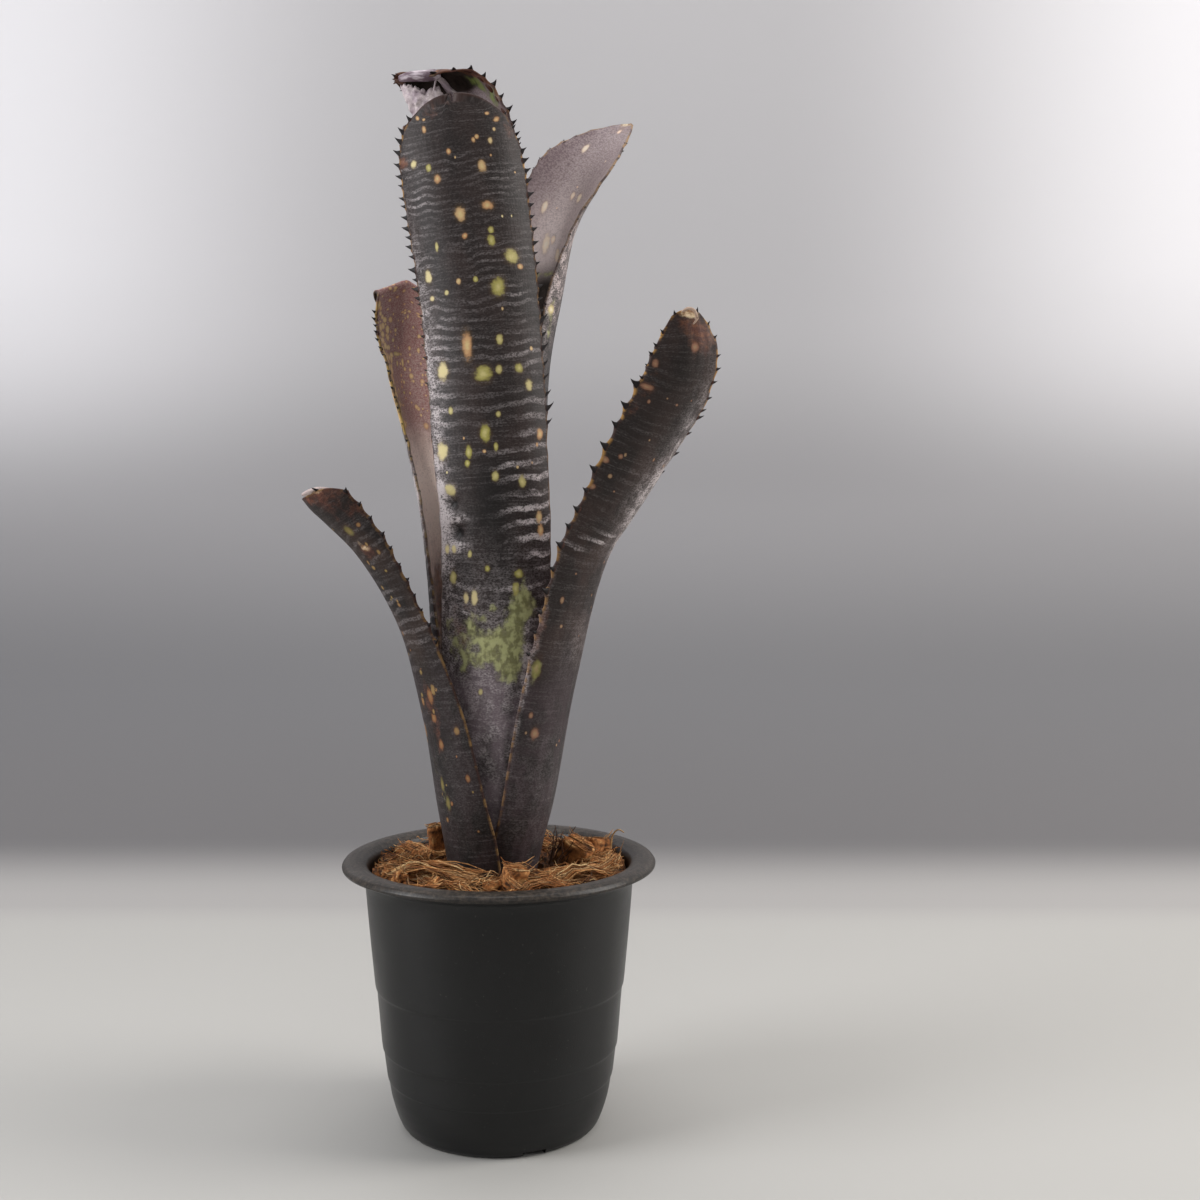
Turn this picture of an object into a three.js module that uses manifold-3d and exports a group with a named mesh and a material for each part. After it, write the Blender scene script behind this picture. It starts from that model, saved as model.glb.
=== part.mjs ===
// A potted billbergia: a tube of stiff, spiny strap leaves growing from a short stem,
// in a black nursery pot filled with coconut husk. Millimetres, +Z up, pot on z = 0,
// pot axis on x = y = 0, front of the plant towards -Y.
import * as THREE from "three";
import { mergeVertices } from "three/addons/utils/BufferGeometryUtils.js";
import Module from "manifold-3d";

const wasm = await Module();
wasm.setup();

// Driving sizes
const POT_SEGMENTS = 44;
const POT_FLOOR = 4.8;
const DRAIN_RADIUS = 4;
const DRAIN_CIRCLE = 21;
const DRAIN_COUNT = 6;
const NOTCH_WIDTH = 8.5;
const NOTCH_HEIGHT = 2.2;
const NOTCH_ANGLES = [-67.5, 22.5, 112.5, 202.5];
const FIT_GAP = 0.4;
const HUSK_LEVEL = 93;
const HUSK_ROUGHNESS = 1.3;
const ROSETTE_X = -1.3;
const HOLE_FLOOR = 84;
const HOLE_RADIUS = 17.6;
const HOLE_TOP_RADIUS = 21.5;
const HOLE_TOP = 104;
const LEAF_FOOT = 88;
const BLADE_MIDDLE = 1.2;
const BLADE_EDGE = 0.8;
const BLADE_COLUMNS = 8;
const FINE = 24;
const ROW_STEP = 12;
const SPINE_SINK = 1.0;
const SPINE_HOOK = 0.32;
const CAP_ROUNDING = 1.2;
const UP = new THREE.Vector3(0, 0, 1);

// Outer wall of the pot, from the foot up to the lip: [radius, height].
// The three short steps are the moulded ledges seen on its side.
const POT_OUTSIDE = [
  [33.2, 0],
  [34.4, 0.4],
  [35.6, 1.7],
  [37.1, 5.2],
  [38.3, 9],
  [39.3, 12.8],
  [40.1, 18.2],
  [40.6, 18.9],
  [41.8, 29],
  [42.3, 29.7],
  [44.0, 51],
  [44.6, 51.8],
  [46.0, 67],
  [47.0, 79],
  [47.7, 88.5],
];
const POT_LIP = [
  [48.4, 91.2],
  [50.2, 93],
  [52.6, 93.9],
  [54.9, 94],
  [55.8, 94.5],
  [55.9, 95.4],
  [55.0, 96.6],
  [53.2, 97.3],
  [51.0, 97.4],
  [49.0, 96.9],
  [47.3, 95.8],
  [46.4, 94],
];
const POT_INSIDE = [
  [46.1, 88.5],
  [44.4, 67],
  [42.7, 51],
  [40.3, 29],
  [38.6, 18],
  [36.6, 9],
  [34.6, 5.6],
  [33.2, POT_FLOOR],
];

// Leaves from the inside of the tube outwards. Station: x, y, z of the midrib (x and y
// from the rosette's axis), half width along the blade, radius of its bow, roll in degrees.
// "facing" is the compass side that the outer face looks to at the foot (0 = +X, 90 = +Y).
// "cap" lets the blade fall away on both sides of "peak", over a stretch of its length,
// so that the line of a folded tip isn't straight.
const LEAVES = {
  leaf_back: {
    facing: 90,
    tip: 14,
    blunt: 1.8,
    stations: [
      [0, 7.1, 88, 14, 7.1, 0],
      [0.2, 11.5, 118, 19.5, 11.5, 0],
      [0.6, 13.4, 146, 22, 13.5, 0],
      [0.9, 14.9, 175, 23, 15.2, 0],
      [1, 14.2, 214, 23, 15.2, 0],
      [-0.7, 13.6, 245, 23, 16, 0],
      [-2.7, 13, 273, 23, 17, 0],
      [-5.1, 12.4, 298, 23, 18.2, 0],
      [-7.9, 12, 324, 23, 20, 0],
      [-10.4, 11, 343, 21.5, 22, 0],
      [-12.8, 10.4, 355, 21, 23, -3],
      [-16.8, 9, 364.5, 18.6, 20, -10],
      [-21, 7, 368.6, 15, 12, -18],
      [-25.5, 5, 370.2, 11, 7, -26],
      [-30, 3, 370.6, 8, 4.6, -32],
      [-34, 1.5, 370.4, 5, 3.4, -32],
    ],
    spines: [
      { side: -1, from: 236, to: 292, step: 3.6, size: 3.6 },
      { side: -1, from: 293, to: 308, step: 2.8, size: 1.3 },
      { side: 1, from: 296, to: 308, step: 3, size: 1 },
    ],
  },
  leaf_back_right: {
    facing: 40,
    tip: 26,
    blunt: 1.4,
    stations: [
      [6.7, 5.7, 88, 14, 8.8, 0],
      [10.4, 8.7, 118, 21, 13.5, 0],
      [12.6, 10.5, 146, 23, 15.5, 0],
      [13.5, 11.6, 175, 24, 16.5, 0],
      [13.9, 12.4, 214, 23, 16.5, 0],
      [13.9, 14.5, 245, 23, 17, 0],
      [15.4, 16.4, 273, 23.6, 17.5, 0],
      [19.6, 17.6, 298, 24.2, 18, 0],
      [22.7, 18.8, 318, 21.5, 21, 4],
      [27.3, 20.5, 332, 20, 25, 8],
      [33.7, 22.5, 344.4, 18.5, 29, 10],
      [41, 24.5, 353.4, 16, 32, 10],
      [48.8, 26, 359.8, 13, 34, 10],
    ],
    spines: [
      { side: 1, from: 248, to: 272, step: 4, size: 1.8 },
      { side: -1, from: 190, to: 278, step: 5, size: 0.9 },
    ],
  },
  leaf_front: {
    facing: -90,
    tip: 24,
    blunt: 2.2,
    stations: [
      [0, -10.5, 88, 15, 10.5, 0],
      [0.3, -15.2, 118, 19.6, 15.8, 0],
      [0.7, -17.6, 146, 20.3, 20, 0],
      [0.9, -18.8, 175, 21.2, 24, 0],
      [1.1, -18.5, 214, 21.2, 25, 0],
      [-0.7, -18, 245, 22, 26, 0],
      [-2.7, -17.5, 273, 22.2, 26, 0],
      [-4.9, -17, 298, 22.8, 26, 0],
      [-7.9, -16.5, 324, 23.4, 27, 0],
      [-10.2, -16, 340, 23, 28, 0],
      [-11.8, -15.5, 352, 22.4, 28, 0],
      [-13, -15, 361, 21, 28, 0],
    ],
    spines: [
      { side: -1, from: 208, to: 271, step: 3.7, size: 3 },
      { side: -1, from: 178, to: 206, step: 4.2, size: 1.6 },
      { side: 1, from: 200, to: 268, step: 3.7, size: 2.6 },
      { side: 1, from: 162, to: 199, step: 4.9, size: 3.4, hook: 0.7 },
    ],
  },
  leaf_back_left: {
    facing: 150,
    tip: 12,
    blunt: 2,
    cap: { from: 194, to: 214, peak: -0.1, drop: 5.8 },
    stations: [
      [-10.6, 6.1, 88, 18, 12.2, 0],
      [-15, 8.8, 118, 23.5, 17.6, 0],
      [-17.1, 10.3, 146, 25, 20.6, 0],
      [-18.6, 11.2, 175, 24, 22.4, 0],
      [-21, 12.5, 203, 21, 23, 0],
      [-23, 14.5, 222, 20, 24, 0],
      [-27.3, 17.5, 241, 20, 25, 0],
      [-32.2, 20.6, 260, 21.4, 27, 0],
      [-34.2, 21.8, 275, 21.4, 34, 0],
      [-33.8, 20.9, 288.5, 20, 70, 0],
      [-33.2, 20.5, 299, 18.4, 150, 0],
      [-33, 20.4, 302.4, 17.4, 200, 0],
      [-34, 21, 303.1, 16.4, 200, 0],
      [-35.2, 21.7, 300.4, 14.4, 200, 0],
      [-36.1, 22.2, 294.4, 10, 200, 0],
    ],
    spines: [
      { side: 1, from: 168, to: 212, step: 3.8, size: 2 },
      { side: 1, from: 138, to: 166, step: 6, size: 1.3 },
      { side: -1, from: 150, to: 212, step: 5.6, size: 1.4 },
    ],
  },
  leaf_low_right: {
    facing: -30,
    tip: 18,
    blunt: 2,
    stations: [
      [11.5, -6.6, 88, 17, 13.3, 0],
      [14.5, -8.3, 103, 17.4, 16, 0],
      [17.9, -10.2, 118, 18, 19, 0],
      [22.8, -12.5, 146, 18.4, 21, 0],
      [26.3, -14.7, 164, 17.8, 21, 0],
      [30.8, -17.2, 184, 16.8, 20.5, 0],
      [36.9, -20.8, 205, 16.4, 21, -4],
      [44.4, -24.8, 219.5, 16.8, 23, -8],
      [55.4, -31.5, 241, 16.4, 24, -18],
      [62.6, -37.8, 257.5, 14, 24, -30],
      [65.8, -41.5, 270, 12.2, 25, -36],
      [65.8, -42.8, 278, 11, 25, -36],
      [64.4, -43.2, 286.2, 10.2, 25, -36],
    ],
    spines: [
      { side: -1, from: 84, to: 184, step: 7.5, size: 3.6 },
      { side: -1, from: 186, to: 214, step: 5, size: 1.7 },
      { side: 1, from: 132, to: 176, step: 7.5, size: 2.6 },
      { side: 1, from: 178, to: 212, step: 4.6, size: 1.8 },
    ],
  },
  leaf_low_left: {
    facing: 205,
    tip: 8,
    blunt: 2.6,
    stations: [
      [-14.1, -6.6, 88, 21, 15.6, 0],
      [-16.5, -7.7, 104, 22, 18.2, 0],
      [-18.6, -8.8, 118, 21.5, 20.8, 0],
      [-22.8, -10.4, 147, 19, 22, 0],
      [-28.2, -12.9, 172, 15, 20, 0],
      [-35.4, -16.2, 190, 14, 18, 0],
      [-44.3, -20.3, 205.8, 14.6, 17, 4],
      [-52.8, -24, 216.4, 15.2, 18, 10],
      [-57.6, -26, 222, 15, 20, 12],
      [-60.8, -27, 226.4, 14, 20, 12],
    ],
    spines: [
      { side: 1, from: 88, to: 152, step: 5.6, size: 2.8 },
      { side: -1, from: 104, to: 150, step: 6.4, size: 2.4 },
    ],
  },
};

// Solids

function solid(geometry) {
  const bare = geometry.index ? geometry.clone() : mergeVertices(geometry, 1e-4);
  bare.deleteAttribute("normal");
  bare.deleteAttribute("uv");
  const joined = mergeVertices(bare, 1e-4);
  const made = new wasm.Manifold(
    new wasm.Mesh({
      numProp: 3,
      vertProperties: new Float32Array(joined.attributes.position.array),
      triVerts: new Uint32Array(joined.index.array),
    }),
  );
  if (made.volume() <= 0) {
    throw new Error("a piece is inside out");
  }
  return made;
}

function geometryOf(body) {
  const mesh = body.getMesh();
  const geometry = new THREE.BufferGeometry();
  geometry.setAttribute(
    "position",
    new THREE.BufferAttribute(new Float32Array(mesh.vertProperties), 3),
  );
  geometry.setIndex(new THREE.BufferAttribute(new Uint32Array(mesh.triVerts), 1));
  geometry.computeVertexNormals();
  return geometry;
}

// A turned solid with its axis on +Z, from [radius, height] pairs.
function turned(profile, segments) {
  const points = profile.map(([r, z]) => new THREE.Vector2(r, z));
  const geometry = new THREE.LatheGeometry(points, segments);
  geometry.rotateX(Math.PI / 2);
  return geometry;
}

function radians(degrees) {
  return THREE.MathUtils.degToRad(degrees);
}

function compass(degrees) {
  const a = radians(degrees);
  return new THREE.Vector3(Math.cos(a), Math.sin(a), 0);
}

// Repeatable random numbers from 0 to 1
function seeded(seed) {
  let state = seed;
  return () => {
    state = (state * 1664525 + 1013904223) % 4294967296;
    return state / 4294967296;
  };
}

// Leaf shape

function between(rows, t) {
  const last = rows.length - 1;
  const i = Math.min(Math.floor(t), last - 1);
  const f = t - i;
  const pick = (k) => rows[THREE.MathUtils.clamp(k, 0, last)];
  const [a, b, c, d] = [pick(i - 1), pick(i), pick(i + 1), pick(i + 2)];
  return b.map((start, k) => {
    const slope = c[k] - a[k];
    const bend = 2 * a[k] - 5 * start + 4 * c[k] - d[k];
    const twist = 3 * (start - c[k]) + d[k] - a[k];
    return start + 0.5 * f * (slope + f * (bend + f * twist));
  });
}

// The midrib as closely spaced frames: place, direction, outward normal, side, half width, bow.
function midrib(leaf) {
  const steps = (leaf.stations.length - 1) * FINE;
  const rows = [];
  for (let k = 0; k <= steps; k++) {
    rows.push(between(leaf.stations, k / FINE));
  }
  const places = rows.map(([x, y, z]) => new THREE.Vector3(x + ROSETTE_X, y, z));
  const reached = [0];
  for (let k = 1; k <= steps; k++) {
    reached.push(reached[k - 1] + places[k].distanceTo(places[k - 1]));
  }
  let normal = compass(leaf.facing);
  return places.map((place, k) => {
    const ahead = places[Math.min(k + 1, steps)];
    const along = ahead.clone().sub(places[Math.max(k - 1, 0)]).normalize();
    normal = normal.clone().addScaledVector(along, -normal.dot(along)).normalize();
    const rolled = normal.clone().applyAxisAngle(along, radians(rows[k][5]));
    return {
      place,
      along,
      normal: rolled,
      side: new THREE.Vector3().crossVectors(along, rolled),
      half: rows[k][3] * taper(leaf, reached[steps] - reached[k]),
      bow: rows[k][4],
      sag: sag(leaf, reached[k]),
      peak: leaf.cap?.peak ?? 0,
      at: reached[k],
    };
  });
}

// How much of the half width is left at a distance from the tip
function taper(leaf, left) {
  if (left >= leaf.tip) {
    return 1;
  }
  const t = 1 - left / leaf.tip;
  return Math.max(Math.pow(1 - Math.pow(t, leaf.blunt), 1 / leaf.blunt), 0.05);
}

// How far a blade with a cap falls away at a distance from the foot
function sag(leaf, at) {
  return leaf.cap ? leaf.cap.drop * THREE.MathUtils.smoothstep(at, leaf.cap.from, leaf.cap.to) : 0;
}

// Point of the blade's middle surface: u runs from -1 to 1 across it
function bladePoint(frame, u) {
  const angle = (u * frame.half) / frame.bow;
  return frame.place
    .clone()
    .addScaledVector(frame.normal, frame.bow * (Math.cos(angle) - 1))
    .addScaledVector(frame.side, frame.bow * Math.sin(angle))
    .addScaledVector(UP, -frame.sag * Math.pow(Math.abs(u - frame.peak), CAP_ROUNDING));
}

function bladeNormal(frame, u) {
  const angle = (u * frame.half) / frame.bow;
  return frame.normal
    .clone()
    .multiplyScalar(Math.cos(angle))
    .addScaledVector(frame.side, Math.sin(angle));
}

// A closed thin blade: both faces split alike, with walls round the edge.
function blade(frames) {
  const rows = frames.length;
  const columns = BLADE_COLUMNS + 1;
  const positions = [];
  for (const face of [1, -1]) {
    for (const frame of frames) {
      for (let j = 0; j < columns; j++) {
        const u = (2 * j) / BLADE_COLUMNS - 1;
        const thick = THREE.MathUtils.lerp(BLADE_MIDDLE, BLADE_EDGE, Math.abs(u));
        const p = bladePoint(frame, u).addScaledVector(
          bladeNormal(frame, u),
          (face * thick) / 2,
        );
        positions.push(p.x, p.y, p.z);
      }
    }
  }
  const outer = (i, j) => i * columns + j;
  const inner = (i, j) => (rows + i) * columns + j;
  const index = [];
  const quad = (a, b, c, d) => index.push(a, b, c, a, c, d);
  for (let i = 0; i < rows - 1; i++) {
    for (let j = 0; j < columns - 1; j++) {
      quad(outer(i, j), outer(i, j + 1), outer(i + 1, j + 1), outer(i + 1, j));
      index.push(inner(i, j), inner(i + 1, j + 1), inner(i, j + 1));
      index.push(inner(i, j), inner(i + 1, j), inner(i + 1, j + 1));
    }
    quad(outer(i, 0), outer(i + 1, 0), inner(i + 1, 0), inner(i, 0));
    const e = columns - 1;
    quad(outer(i, e), inner(i, e), inner(i + 1, e), outer(i + 1, e));
  }
  for (let j = 0; j < columns - 1; j++) {
    quad(outer(0, j), inner(0, j), inner(0, j + 1), outer(0, j + 1));
    const top = rows - 1;
    quad(outer(top, j), outer(top, j + 1), inner(top, j + 1), inner(top, j));
  }
  const geometry = new THREE.BufferGeometry();
  geometry.setAttribute("position", new THREE.Float32BufferAttribute(positions, 3));
  geometry.setIndex(index);
  return geometry;
}

// A hooked spine on a blade's edge, bent towards the tip, with its root in the blade.
function spine(frames, at, side, size, lean) {
  const found = frames.findIndex((frame) => frame.at >= at);
  const k = THREE.MathUtils.clamp(found, 2, frames.length - 3);
  const root = bladePoint(frames[k], side);
  const normal = bladeNormal(frames[k], side);
  const along = bladePoint(frames[k + 2], side).sub(bladePoint(frames[k - 2], side)).normalize();
  const out = new THREE.Vector3().crossVectors(along, normal).multiplyScalar(side);
  const geometry = new THREE.ConeGeometry(0.34 * size, size + SPINE_SINK, 3, 2);
  geometry.translate(0, (size + SPINE_SINK) / 2, 0);
  const spots = geometry.attributes.position;
  const flat = Math.min(1, 0.3 / (0.34 * size));
  for (let j = 0; j < spots.count; j++) {
    const reach = spots.getY(j) - SPINE_SINK;
    const hook = lean * size * Math.pow(Math.max(reach, 0) / size, 2);
    const p = root
      .clone()
      .addScaledVector(out, reach)
      .addScaledVector(along, spots.getX(j) + hook)
      .addScaledVector(normal, spots.getZ(j) * flat);
    spots.setXYZ(j, p.x, p.y, p.z);
  }
  return geometry;
}

// The cone is built by whole turns, so a spine on the -1 side comes out mirrored.
function spineSolid(geometry) {
  const bare = geometry.clone();
  bare.deleteAttribute("normal");
  bare.deleteAttribute("uv");
  const joined = mergeVertices(bare, 1e-4);
  const kept = [];
  const source = joined.index.array;
  for (let k = 0; k < source.length; k += 3) {
    const [a, b, c] = [source[k], source[k + 1], source[k + 2]];
    if (a !== b && b !== c && c !== a) {
      kept.push(a, b, c);
    }
  }
  joined.setIndex(kept);
  if (signedVolume(joined) < 0) {
    joined.setIndex(kept.toReversed());
  }
  return solid(joined);
}

function signedVolume(geometry) {
  const at = geometry.attributes.position;
  const index = geometry.index.array;
  const [a, b, c] = [0, 1, 2].map(() => new THREE.Vector3());
  let sum = 0;
  for (let k = 0; k < index.length; k += 3) {
    a.fromBufferAttribute(at, index[k]);
    b.fromBufferAttribute(at, index[k + 1]);
    c.fromBufferAttribute(at, index[k + 2]);
    sum += a.dot(b.cross(c)) / 6;
  }
  return sum;
}

function makeLeaf(leaf, seed) {
  const random = seeded(seed);
  const frames = midrib(leaf);
  const rows = frames.filter((frame, k) => k % ROW_STEP === 0);
  const pieces = [solid(blade(rows))];
  for (const { side, from, to, step, size, hook = SPINE_HOOK } of leaf.spines) {
    for (let at = from; at < to; at += step * (0.85 + 0.3 * random())) {
      const grown = size * (0.75 + 0.4 * random());
      pieces.push(spineSolid(spine(frames, at, side, grown, hook)));
    }
  }
  return wasm.Manifold.union(pieces);
}

// Pot

function makePot() {
  const underside = [
    [0, 0],
    [10, 0],
    [11, 3],
    [29.4, 3],
    [30.2, 0],
  ];
  const profile = [...underside, ...POT_OUTSIDE, ...POT_LIP, ...POT_INSIDE, [0, POT_FLOOR]];
  let pot = solid(turned(profile, POT_SEGMENTS));
  for (let k = 0; k < DRAIN_COUNT; k++) {
    const middle = compass((360 * k) / DRAIN_COUNT).multiplyScalar(DRAIN_CIRCLE);
    const drill = new THREE.CylinderGeometry(DRAIN_RADIUS, DRAIN_RADIUS, 12, 16);
    drill.rotateX(Math.PI / 2);
    drill.translate(middle.x, middle.y, 4);
    pot = pot.subtract(solid(drill));
  }
  for (const angle of NOTCH_ANGLES) {
    const notch = new THREE.BoxGeometry(12, NOTCH_WIDTH, 2 * NOTCH_HEIGHT);
    notch.translate(33, 0, 0);
    notch.rotateZ(radians(angle));
    pot = pot.subtract(solid(notch));
  }
  return pot;
}

// Husk filling, with its uneven top and the chips that lie on it

function unevenness(x, y) {
  const broad = Math.sin(0.21 * x + 1.3) * Math.cos(0.24 * y - 0.4);
  const fine = Math.sin(0.63 * x - 0.51 * y) * Math.cos(0.47 * x + 0.71 * y + 2);
  return HUSK_ROUGHNESS * (broad + 0.7 * fine);
}

function makeFilling() {
  const side = POT_INSIDE.toReversed().map(([r, z]) => [r - FIT_GAP - 0.15, z]);
  side[0] = [side[0][0] - 0.6, POT_FLOOR + FIT_GAP];
  side[side.length - 1] = [45.5, HUSK_LEVEL - 2];
  const top = [];
  for (let r = 44.9; r > 3; r -= 5.4) {
    top.push([r, HUSK_LEVEL]);
  }
  const geometry = turned([[0, POT_FLOOR + FIT_GAP], ...side, ...top, [0, HUSK_LEVEL]], POT_SEGMENTS);
  const spots = geometry.attributes.position;
  for (let k = 0; k < spots.count; k++) {
    if (spots.getZ(k) > HUSK_LEVEL - 0.01) {
      spots.setZ(k, HUSK_LEVEL + unevenness(spots.getX(k), spots.getY(k)));
    }
  }
  return solid(geometry);
}

// A chip of husk: a block with cut corners. Given are place, size, turn and tilt.
function chip({ x, y, z, size, turn, tilt }) {
  const [a, b, c] = size;
  const outline = new THREE.Shape();
  outline.moveTo(-a / 2, -b * 0.38);
  outline.lineTo(-a * 0.32, -b / 2);
  outline.lineTo(a * 0.4, -b * 0.46);
  outline.lineTo(a / 2, b * 0.1);
  outline.lineTo(a * 0.34, b / 2);
  outline.lineTo(-a * 0.42, b * 0.42);
  outline.closePath();
  const geometry = new THREE.ExtrudeGeometry(outline, { depth: c, bevelEnabled: false });
  geometry.translate(0, 0, -c / 2);
  geometry.rotateX(radians(tilt[0]));
  geometry.rotateY(radians(tilt[1]));
  geometry.rotateZ(radians(turn));
  geometry.translate(x, y, z);
  return solid(geometry);
}

// The chips that the photo shows, then a scatter of small ones by a seeded draw.
const SEEN_CHIPS = [
  { x: -24, y: 15, z: 97, size: [6, 4.5, 16], turn: 20, tilt: [6, -8] },
  { x: -33, y: 19, z: 93.4, size: [12, 8, 5], turn: -25, tilt: [10, 12] },
  { x: -19, y: -22, z: 94.6, size: [30, 10, 3.2], turn: -8, tilt: [26, 7] },
  { x: 6.6, y: -28, z: 95.6, size: [9, 8, 8.5], turn: 20, tilt: [10, 10] },
  { x: 26.6, y: 5, z: 95, size: [12, 9, 14], turn: -20, tilt: [12, 24] },
  { x: 35, y: 14, z: 96, size: [9, 7, 8], turn: 30, tilt: [-14, 10] },
  { x: 40, y: 1, z: 94.2, size: [9, 6, 4], turn: 70, tilt: [10, -12] },
  { x: 16, y: -30, z: 94, size: [9, 8, 5], turn: -15, tilt: [14, -12] },
  { x: 29, y: -20, z: 94.2, size: [19, 9, 3.4], turn: 22, tilt: [18, -8] },
];
const SCATTER = 22;

function makeHusk() {
  const random = seeded(71);
  const pieces = [makeFilling(), ...SEEN_CHIPS.map(chip)];
  for (let k = 0; k < SCATTER; k++) {
    const away = 24 + 15.5 * Math.sqrt(random());
    const middle = compass(360 * ((k + 0.7 * random()) / SCATTER)).multiplyScalar(away);
    pieces.push(
      chip({
        x: middle.x,
        y: middle.y,
        z: HUSK_LEVEL + 0.6 + 1.2 * random(),
        size: [5 + 7 * random(), 3.5 + 3 * random(), 3 + 2.5 * random()],
        turn: 360 * random(),
        tilt: [50 * random() - 25, 50 * random() - 25],
      }),
    );
  }
  const hole = turned(
    [
      [0, HOLE_FLOOR],
      [HOLE_RADIUS, HOLE_FLOOR],
      [HOLE_RADIUS, HOLE_FLOOR + 4],
      [HOLE_TOP_RADIUS, HOLE_TOP],
      [0, HOLE_TOP],
    ],
    40,
  );
  hole.translate(ROSETTE_X, 0, 0);
  // Of what the hole leaves, a chip's cut-off corner is dropped.
  const left = wasm.Manifold.union(pieces).subtract(solid(hole)).decompose();
  return left.sort((a, b) => b.volume() - a.volume())[0];
}

// Short stem: the plate that the leaves stand on, and its core inside the tube
function makeStem() {
  const profile = [
    [0, HOLE_FLOOR + FIT_GAP],
    [15.4, HOLE_FLOOR + FIT_GAP],
    [16.6, HOLE_FLOOR + 1.4],
    [16.6, LEAF_FOOT - FIT_GAP],
    [5.4, LEAF_FOOT - FIT_GAP],
    [5.2, 96],
    [3.8, 106],
    [0, 110],
  ];
  const geometry = turned(profile, 36);
  geometry.translate(ROSETTE_X, 0, 0);
  return solid(geometry);
}

// Assembly

function named(name, body, colour, roughness) {
  const material = new THREE.MeshStandardMaterial({ color: colour, roughness, metalness: 0 });
  const mesh = new THREE.Mesh(geometryOf(body), material);
  mesh.name = name;
  return mesh;
}

const LEAF_COLOURS = {
  leaf_back: 0x8d7b7e,
  leaf_back_right: 0xa59194,
  leaf_front: 0x3a3230,
  leaf_back_left: 0x6e4a45,
  leaf_low_right: 0x3c302c,
  leaf_low_left: 0x453630,
};

const part = new THREE.Group();
part.name = "potted_billbergia";
part.add(named("pot", makePot(), 0x17181a, 0.55));
part.add(named("husk_substrate", makeHusk(), 0x9a6a3c, 0.95));
part.add(named("stem", makeStem(), 0x8a8256, 0.8));
Object.entries(LEAVES).forEach(([name, leaf], k) => {
  part.add(named(name, makeLeaf(leaf, 11 + k), LEAF_COLOURS[name], 0.5));
});

export default part;
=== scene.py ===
import math
import random

import bmesh
import bpy
import numpy as np
from mathutils import Matrix, Vector


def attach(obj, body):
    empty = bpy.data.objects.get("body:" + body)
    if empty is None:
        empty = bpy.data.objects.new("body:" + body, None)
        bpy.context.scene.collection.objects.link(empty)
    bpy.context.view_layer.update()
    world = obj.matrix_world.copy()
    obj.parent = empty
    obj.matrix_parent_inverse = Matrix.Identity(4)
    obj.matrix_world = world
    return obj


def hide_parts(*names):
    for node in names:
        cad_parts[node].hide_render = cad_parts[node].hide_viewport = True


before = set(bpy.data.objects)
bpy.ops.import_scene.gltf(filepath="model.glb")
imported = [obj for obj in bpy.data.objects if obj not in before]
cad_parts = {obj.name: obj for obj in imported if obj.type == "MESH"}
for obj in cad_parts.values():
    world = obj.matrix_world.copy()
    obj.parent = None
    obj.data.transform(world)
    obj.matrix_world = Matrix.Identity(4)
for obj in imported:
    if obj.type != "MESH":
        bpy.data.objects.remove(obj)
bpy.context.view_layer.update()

MM = 0.001
ROSETTE_X = -1.3
FINE = 24
BLADE_MIDDLE = 1.2
BLADE_EDGE = 0.8
BLADE_COLUMNS = 44
LIP_SHARE = 0.35
SPINE_HOOK = 0.32
SPINE_SPLAY = 28
SPINE_RINGS = 8
SPINE_SIDES = 8
CAP_ROUNDING = 1.2
# For the looks, spines lie this far across, and spines and scraps this far from the rim,
# so that no spot and no amber falls on them
SPINE_ACROSS = 60.0
OFF_RIM = 9.0
HUSK_LEVEL = 93
HUSK_ROUGHNESS = 1.3
POT_SEGMENTS = 192
POT_FLOOR = 4.8

# The photograph's camera: a 48 mm lens on a 36 mm sensor, looking 4.4 degrees down
CAMERA_PLACE = (36, -565, 232.5)
CAMERA_PITCH = 4.4
CAMERA_LENS = 48
CAMERA_SENSOR = 36

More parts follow.
